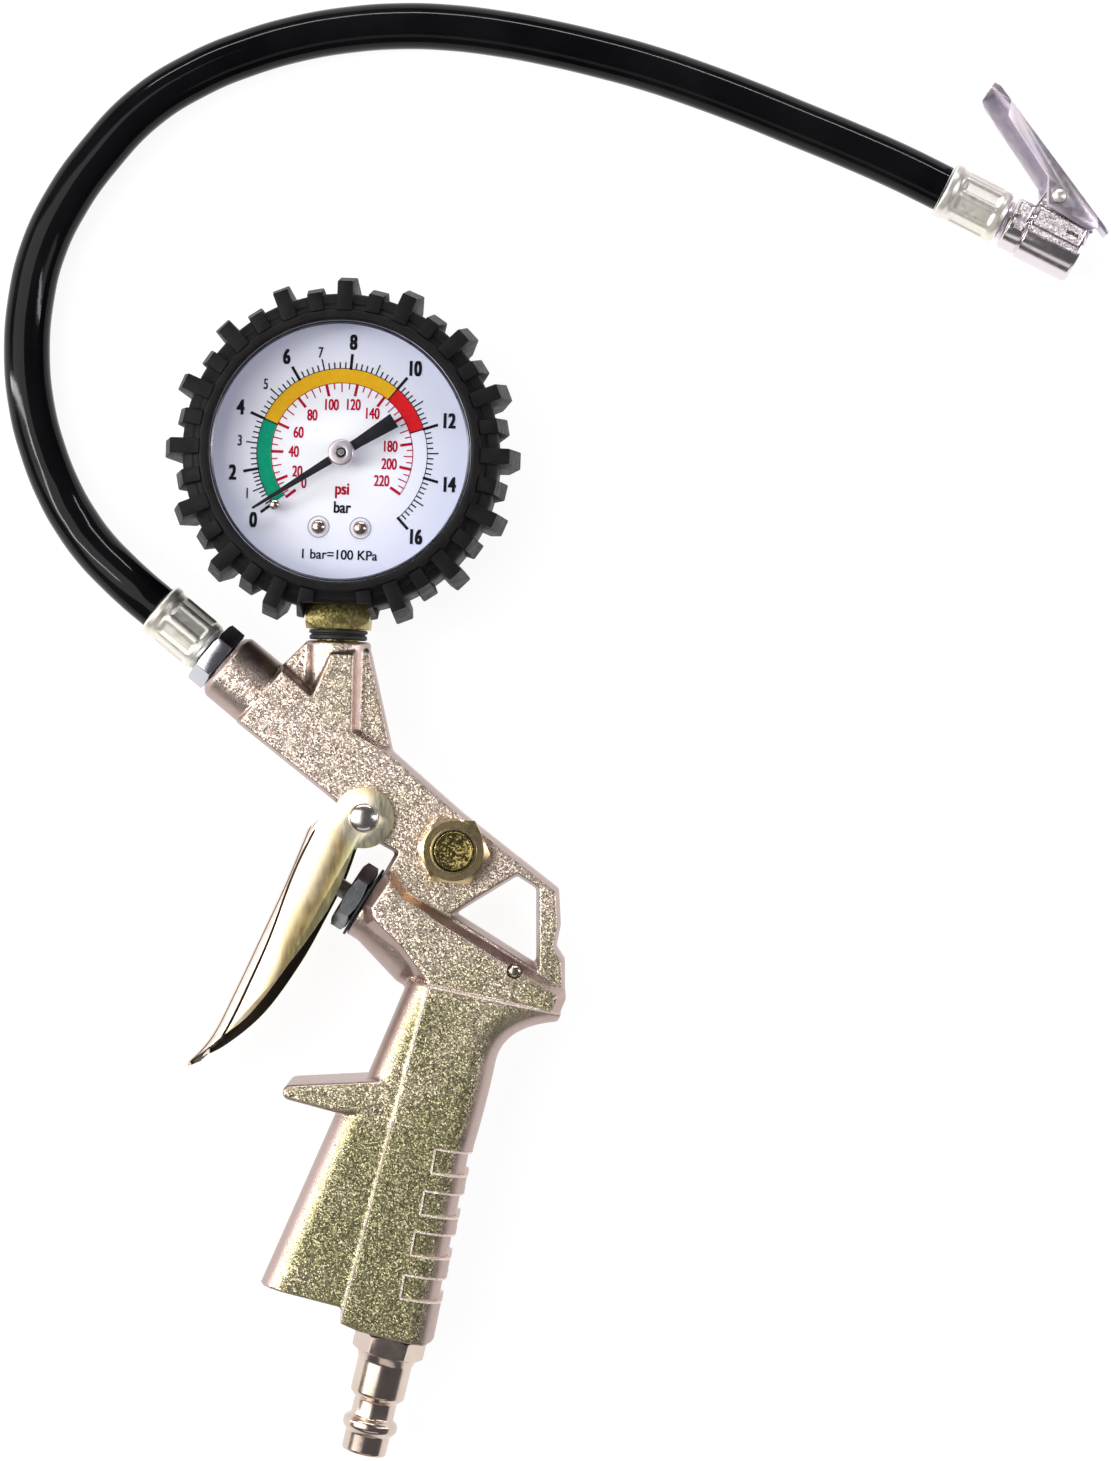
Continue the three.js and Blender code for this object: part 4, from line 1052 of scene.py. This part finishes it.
def lug(reach, width, low, top, inner):
    """One tread lug at 12 o'clock: a flat top, an outer face that leans out, and sides that spread."""
    back = reach - 2.3
    profile = [(inner, low), (back, low + 1), (reach, (low + top) / 2), (back, top - 0.5), (inner, top)]
    lean = 0.35
    mesh = slab(profile, -width / 2, width / 2, 0.3, 0.3, 2)
    for vertex in mesh.vertices:
        spread = 1 + lean * max(0.0, (top - vertex.co.y)) / (top - low)
        vertex.co.z *= spread
    upright = Matrix(((0, 0, 1, 0), (1, 0, 0, 0), (0, 1, 0, 0), (0, 0, 0, 1)))
    return moved(mesh, upright)


def boot_mesh():
    shell = lathe([
        (14, 0), (33.0, 0), (34.6, 1.6), (34.6, 27.6), (34.2, 28.4), (32.4, 30.0), (30.9, 30.7),
        (30.5, 32.3), (29.0, 32.3), (28.5, 31.9), (28.5, 30.3), (32.5, 30.3), (32.5, 1.9), (14, 1.9),
        (14, 0),
    ], 160, 0.35)
    lugs = []
    for pair in range(LUG_PAIRS):
        step = TURN / LUG_PAIRS
        if pair != LUG_PAIRS // 2:
            tall = lug(39.2, 3.4, 4.0, 32.4, 30.6)
            lugs.append(spun(tall, -pair * step))
        small = lug(37.0, 3.2, 6.0, 32.0, 30.8)
        lugs.append(spun(small, -(pair + 0.5) * step))
    opening = SOCKET_HALF + 0.4
    square = rect(-opening, -opening, opening, opening)
    stem = moved(slab(square, -2, 20), axis_frame(0, -30, MID_PLANE, -90))
    ringed = cut(shell, tube(33.9, 36, 21.6, 22.4), tube(33.9, 36, 25.0, 25.8))
    notch = slab(rect(-opening, -60, opening, -33.0), MID_PLANE, 40)
    return cut(joined(ringed, *lugs), stem, notch)


def flat_bar(angle, near, far, width):
    """A radial mark on the dial, as four corners of a face."""
    along = Vector(polar(1, angle))
    across = Vector((-along.y, along.x)) * width / 2
    return [tuple(along * r + across * side) for r, side in ((near, -1), (far, -1), (far, 1), (near, 1))]


def band(start, end, inner, outer, steps=40):
    """A ring-shaped face between two angles."""
    outer_arc = circle(outer, 0, 0, steps, start, end - start)
    return circle(inner, 0, 0, steps, start, end - start)[::-1] + outer_arc


def between(marks, value):
    """The angle of a value on a scale, from the angles of its numbered marks."""
    low = max(mark for mark in marks if mark <= value)
    high = min(mark for mark in marks if mark >= value)
    if low == high:
        return marks[low]
    return marks[low] + (marks[high] - marks[low]) * (value - low) / (high - low)


BAR_MARKS = {0: 217.7, 2: 192.0, 4: 157.6, 6: 121.8, 8: 86.0, 10: 51.3, 12: 18.7, 14: -14.6, 16: -47.0}
PSI_MARKS = {0: 219.8, 20: 204.0, 40: 180.0, 60: 156.4, 80: 130.0, 100: 104.7, 120: 79.3, 140: 55.0,
             160: 33.0, 180: 10.0, 200: -11.0, 220: -33.0}
SCALE_RADIUS = 18.7
PSI_RADIUS = 15.6
FIGURE_HEIGHT = 0.7                     # of a figure at size 1


def lettering(text, x, y, height, boldness=0.0, narrow=0.72):
    """Flat figures centred on a point of the dial, thickened by a few offset copies."""
    data = bpy.data.curves.new("figures", "FONT")
    data.body = text
    data.size = height / FIGURE_HEIGHT
    data.align_x = "CENTER"
    data.align_y = "CENTER"
    data.fill_mode = "FRONT"
    host = linked("figures", data)
    size = Matrix.Diagonal((narrow, 1, 1, 1))
    copies = []
    for step in range(5 if boldness else 1):
        reach = boldness if step else 0.0
        angle = math.pi / 4 + step * math.pi / 2
        offset = (x + reach * math.cos(angle), y + reach * math.sin(angle) * 0.6, step * 0.002)
        copies.append(moved(baked(host), Matrix.Translation(offset) @ size))
    bpy.data.objects.remove(host)
    return gathered(copies)


def printed(name, faces, letters, material, height):
    """Ink on the dial: faces and figures as a skin just above it."""
    build = bmesh.new()
    for outline in faces:
        build.faces.new([build.verts.new((x, y, 0)) for x, y in outline])
    flat = bpy.data.meshes.new("ink")
    build.to_mesh(flat)
    build.free()
    ink = gathered([flat, *letters])
    skin = with_modifier(ink, "SOLIDIFY", thickness=0.03, offset=0.0)
    piece(name, shifted(skin, z=DIAL_TOP + height), GAUGE, material, slot="dial_white")


SCREWS = ((-4.6, -16.2), (4.6, -16.2))


def add_dial_print():
    black = [band(BAR_MARKS[0], BAR_MARKS[16], SCALE_RADIUS - 0.06, SCALE_RADIUS + 0.1, 160)]
    for tick in range(0, 81):
        value = tick / 5
        numbered = tick % 10 == 0
        unit = tick % 5 == 0
        length = 3.3 if numbered else 2.5 if unit else 1.4
        width = 0.62 if numbered else 0.3
        angle = between(BAR_MARKS, value)
        near = SCALE_RADIUS - 0.2 if numbered else SCALE_RADIUS
        black.append(flat_bar(angle, near, SCALE_RADIUS + length, width))
    for value in (4, 10, 12):
        black.append(flat_bar(BAR_MARKS[value], PSI_RADIUS - 0.1, SCALE_RADIUS, 0.3))
    red = [band(PSI_MARKS[0], PSI_MARKS[220], PSI_RADIUS - 0.16, PSI_RADIUS + 0.02, 160)]
    for tick in range(0, 45):
        value = tick * 5
        numbered = tick % 4 == 0
        length = 2.7 if numbered else 2.1 if tick % 2 == 0 else 1.4
        width = 0.62 if numbered else 0.27
        red.append(flat_bar(between(PSI_MARKS, value), PSI_RADIUS - length, PSI_RADIUS, width))
    black_text = [
        lettering(str(v), *polar(24.4, angle + 1.2 * (v == 0)), 3.2, 0.25, 0.68)
        for v, angle in BAR_MARKS.items()
    ]
    for value in (1, 3, 5, 7):
        black_text.append(lettering(str(value), *polar(22.6, between(BAR_MARKS, value)), 2.3, 0.08, 0.66))
    black_text.append(lettering("bar", 0.4, -11.9, 2.5, 0.13, 0.8))
    black_text.append(lettering("1 bar=100 KPa", 0.0, -22.3, 2.1, 0.07, 0.94))
    red_text = [
        lettering(str(v), *polar(10.6 if v < 100 or v > 140 else 10.9, a), 2.4, 0.11, 0.66)
        for v, a in PSI_MARKS.items() if v != 160
    ]
    red_text.append(lettering("psi", 0.3, -7.8, 2.6, 0.16, 0.78))
    printed("dial_ink_black", black, black_text, "print_black", 0.07)
    printed("dial_ink_red", red, red_text, "print_red", 0.05)
    for name, low, high, material in (
        ("dial_band_green", 0, 4, "print_green"), ("dial_band_yellow", 4, 10, "print_yellow"),
        ("dial_band_red", 10, 12, "print_band_red"),
    ):
        ends = BAR_MARKS[low], BAR_MARKS[high]
        printed(name, [band(*ends, PSI_RADIUS, SCALE_RADIUS, 80)], [], material, 0.03)
    rings = [
        [(x + dx, y + dy) for x, y in band(start, start + 180, 2.2, 2.42, 24)]
        for dx, dy in SCREWS for start in (0, 180)
    ]
    printed("dial_screw_rings", rings, [], "print_grey", 0.04)


def pointer_mesh():
    blade = slab([
        (-13.6, -1.7), (-4.4, -1.1), (-1, -1.1), (3, -0.9), (23, -0.25), (23, 0.25), (3, 0.9),
        (-1, 1.1), (-4.4, 1.1), (-13.6, 1.7),
    ], 24.6, 25.3, 0.08, 0.08, 2)
    mesh = cut(joined(blade, rod(2.2, 24.0, 25.3)), rod(0.95, 20, 30))
    return spun(mesh, math.radians(POINTER_ANGLE))


def screw_mesh(x, y):
    head = lathe([(0, 19.6), (0.75, 19.6), (0.75, 22.75), *dome(1.65, 22.85, 1.0)], 48)
    slot = spun(slab(rect(-2, -0.2, 2, 0.2), 23.45, 25), 0.5 + x)
    return shifted(cut(head, slot), x, y)


def add_gauge():
    piece("gauge_boot_tread", boot_mesh(), GAUGE, "rubber", "gauge_boot", smooth=30)
    ring = lathe([
        (29.0, 22.9), (30.9, 22.9), (30.9, 27.7), (29.6, 27.7), (29.0, 27.1), (29.0, 22.9),
    ], 160, 0.12)
    piece("dial_rim", ring, GAUGE, "rim", "lens_ring")
    wire = lathe([
        (27.75, 29.9), (28.4, 29.9), (28.4, 30.25), (28.15, 30.4), (27.75, 30.0), (27.75, 29.9),
    ], 160)
    piece("bezel_wire", wire, GAUGE, "rim")
    lens = lathe([(0, 28.0), (30.9, 28.0), (30.9, 29.8), (0, 29.8)], 160, 0.3)
    piece("lens_disc", lens, GAUGE, "lens", "gauge_lens")
    piece("pointer_blade", pointer_mesh(), GAUGE, "black_paint", "gauge_pointer", body="pointer")
    hub = lathe([
        (1.0, 25.6), (2.95, 25.6), (2.95, 26.5), (2.6, 26.95), (1.25, 27.0), (1.0, 26.7), (1.0, 25.6),
    ], 96, 0.2)
    piece("pointer_hub_cap", hub, GAUGE, "silver", "pointer_hub", body="pointer")
    for index, (x, y) in enumerate(SCREWS, 1):
        piece(f"dial_screw_head_{index}", screw_mesh(x, y), GAUGE, "nickel", f"dial_screw_{index}",
              smooth=50)
    x, y = polar(18.5, 219.7)
    stop = lathe([(0, 22.75), (1.1, 22.75), (1.1, 25.3), *dome(1.1, 25.4, 0.6)], 48)
    piece("stop_pin", shifted(stop, x, y), GAUGE, "nickel", "pointer_stop", smooth=50)
    add_dial_print()
    stem = GAUGE @ axis_frame(0, 0, MID_PLANE, -90)
    block = slab(rect(-SOCKET_HALF, -SOCKET_HALF, SOCKET_HALF, SOCKET_HALF), 32.8, 38.3)
    crown = lathe([(0, 32.8), (10.2, 32.8), (10.2, 36.4), (8.0, 38.3), (0, 38.3)])
    socket = joined(kept(block, crown), rod(6.4, 27, 35), rod(4.7, 37, 51.5))
    body = cut(joined(socket, slab(rect(-6.5, -6.5, 6.5, 6.5), 21.5, 28)), rod(2, 20, 60))
    piece("gauge_stem_block", softened(body, 0.2), stem, "socket_brass", "gauge_socket")
    seal = lathe([
        (5.0, 38.5), (6.3, 38.5), (6.5, 38.7), (6.5, 39.2), (6.0, 39.4), (6.0, 39.6), (6.4, 39.8),
        (6.4, 40.5), (6.2, 40.7), (5.0, 40.7), (5.0, 38.5),
    ], 96, 0.1)
    piece("gauge_gaskets", seal, stem, "seal_rubber", "gauge_seal")


# ---------- hose fittings ----------

def ferrule_mesh(low, high, flange_high):
    """A crimped sleeve with eight pressed windows and a wider rim at the hose's end."""
    segments = 128
    rows = 64
    windows = 8
    hose_side = 5.3
    far_side = 4.0
    span = high - low
    verts = []
    for row in range(rows + 1):
        t = row / rows
        z = low + span * t
        along = t if flange_high else 1 - t
        base = 5.95 + 0.5 * smooth_step((along - 0.82) / 0.08)
        base -= 0.5 * (1 - smooth_step(along / 0.06))
        base -= 0.35 * smooth_step((along - 0.965) / 0.035)
        for segment in range(segments):
            phase = segment * windows / segments % 1 - 0.5
            across = smooth_step((0.36 - abs(phase)) / 0.09)
            lengthwise = smooth_step((along - 0.14) / 0.05) * smooth_step((0.78 - along) / 0.06)
            crest = 0.12 * math.cos(phase * TURN)
            radius = base - 0.34 * across * lengthwise - crest * lengthwise
            verts.append((*around(radius, segment * TURN / segments), z))
    bores = (hose_side, far_side) if flange_high else (far_side, hose_side)
    for z, radius in zip((high, low), bores):
        verts += [(*around(radius, segment * TURN / segments), z) for segment in range(segments)]
    rings = [list(range(first, first + segments)) for first in range(0, len(verts), segments)]
    faces = []
    for lower, upper in zip(rings, rings[1:] + rings[:1]):
        faces += quads(lower, upper)
    return mesh_from(verts, faces)


def smooth_step(value):
    value = min(1.0, max(0.0, value))
    return value * value * (3 - 2 * value)


def add_hose_fittings():
    port = axis_frame(*HOSE_PORT)
    nut = joined(hex_nut(13.4, 0.3, 4.4, 0.7), rod(4.6, -9, 1), rod(3.0, 4.0, 18.4, 48))
    piece("hose_nut", softened(cut(nut, rod(1.6, -20, 40)), 0.15), port, "chrome", "hose_fitting")
    piece("crimped_ferrule_gun", ferrule_mesh(4.9, 19.0, True), port, "ferrule", "hose_ferrule_gun",
          smooth=60)
    chuck = axis_frame(*CHUCK)
    piece("crimped_ferrule_chuck", ferrule_mesh(0, 14.45, False), chuck, "ferrule", "hose_ferrule_chuck",
          smooth=60)


# ---------- chuck ----------

LEVER_PIN = (9.5, 23.2)
FLAT = Matrix(((1, 0, 0, 0), (0, 0, -1, 0), (0, 1, 0, 0), (0, 0, 0, 1)))


def lying(points, half, edge=0.0, steps=2):
    """A plate whose outline is drawn across and along the chuck."""
    return moved(plate(points, half, edge, None, steps), FLAT)


def pinned(mesh):
    """A mesh turned about Z, brought onto the lever's pin, which lies across the chuck."""
    place = Matrix.Translation((LEVER_PIN[0], 0, LEVER_PIN[1]))
    return moved(mesh, place @ Matrix.Rotation(math.radians(90), 4, "X"))


def chuck_body_mesh():
    barrel = lathe([
        (0, 15.8), (5.5, 15.8), (6.0, 16.3), (6.0, 19.7), (5.75, 19.85), (5.75, 20.05), (6.4, 20.4),
        (6.4, 32.5), (5.9, 33.2), (0, 33.2),
    ], 128, 0.15)
    across, along = LEVER_PIN
    ear = lying([(3, along - 3.9), (across, along - 2.9), *circle(2.9, across, along, 24, -90, 180),
                 (3, along + 3.9)], 1.6, 0.25)
    land = lying(rect(0.5, 20.7, 5.2, 32.2), 6.3, 0.3)
    collar_land = lying(rect(1.2, 16.3, 4.6, 19.5), 6.0, 0.3)
    bore = lathe([(0, 10), (2.4, 10), (2.4, 23.6), (4.8, 23.6), (4.8, 32.4), (5.2, 40), (0, 40)])
    jaw_slot = slab(rect(0.5, -4.2, 9, 4.2), 30.9, 32.5)
    key_slot = slab(rect(-0.4, 4.6, 0.4, 9), 28.2, 31.0)
    notch = slab(rect(-1.6, 5.3, 1.6, 9), 17.2, 19.2)
    solid = joined(barrel, ear, land, collar_land)
    body = cut(solid, pinned(rod(1.7, -10, 10, 64)), jaw_slot, bore, shifted(key_slot, 3.0, -0.6), notch)
    return softened(body, 0.12)


def chuck_lever_mesh():
    tip = (25.4, 0.5)
    nose = (9.3, 32.8)
    side = lying([
        tip, (25.5, -1.0), (22.5, -1.6), (21.0, -0.3), (10.2, 18.9), (8.4, 20.0), (6.4, 22.0),
        (5.5, 32.5), (7.1, 34.2), nose,
    ], 5.0, 0.0)
    step = (-0.9, -0.46)
    hollow = lying([
        (tip[0] + step[0], tip[1] + step[1]), (tip[0] - 20, -12), (-20, 20), (0, 45),
        (nose[0] + step[0], nose[1] + step[1] + 2),
    ], 4.0)
    open_side = moved(slab([
        (24.4, -6), (23.6, 4.2), (20.4, 5.0), (18.2, 8.8), (12.3, 19.1), (7.0, 21.4), (0, 21.4), (0, -6),
    ], -8, -3.8), FLAT)
    tongue = lying([(8.9, 32.6), (9.6, 33.2), (7.6, 37.0), (6.9, 36.7)], 3.0)
    lever = cut(joined(cut(side, hollow, open_side), tongue), pinned(rod(1.7, -10, 10, 64)))
    return softened(lever, 0.16)


def add_chuck():
    chuck = axis_frame(*CHUCK)
    nipple = joined(
        rod(3.0, 0.9, 14.6, 48), tube(1.4, 4.5, 14.8, 15.5, 0.12), tube(1.3, 3.0, 14.2, 15.2),
        tube(1.3, 2.1, 15.2, 18.0),
    )
    piece("nipple_collar", cut(nipple, rod(1.4, 0, 30)), chuck, "silver", "chuck_nipple")
    piece("chuck_barrel", chuck_body_mesh(), chuck, "chuck_cast", "chuck_body", smooth=14)
    piece("chuck_clip_lever", chuck_lever_mesh(), chuck, "silver", "chuck_lever", body="clip_lever")
    head = dome(1.6, 5.1, 1.0)
    pin = lathe(mirrored(head) + head, 48)
    piece("chuck_pin", pinned(pin), chuck, "ferrule", "chuck_lever_pin", smooth=50)
    blade = slab(rect(0.9, -3.6, 7.9, 3.6), 31.2, 32.2, 0.1, 0.1)
    jaw = cut(blade, rod(4.0, 30, 34))
    piece("chuck_jaw_blade", jaw, chuck, "brass", "chuck_jaw", body="clip_jaw")


# ---------- assembly ----------

def finish_nodes():
    """Gives every CAD node that still shows its material."""
    for row in frame["record"]["subparts"]:
        node = frame["nodes"][row["node"]]
        node.data.materials.clear()
        node.data.materials.append(MATERIALS[row["material_slot"]])


MATERIALS = add_materials()
add_camera()
add_floor()
add_light()
finish_nodes()
hose = add_hose()
add_hose_fittings()
add_chuck()
add_casting()
add_trigger()
add_air_valve()
add_bleed_valve()
add_inlet()
add_gauge()
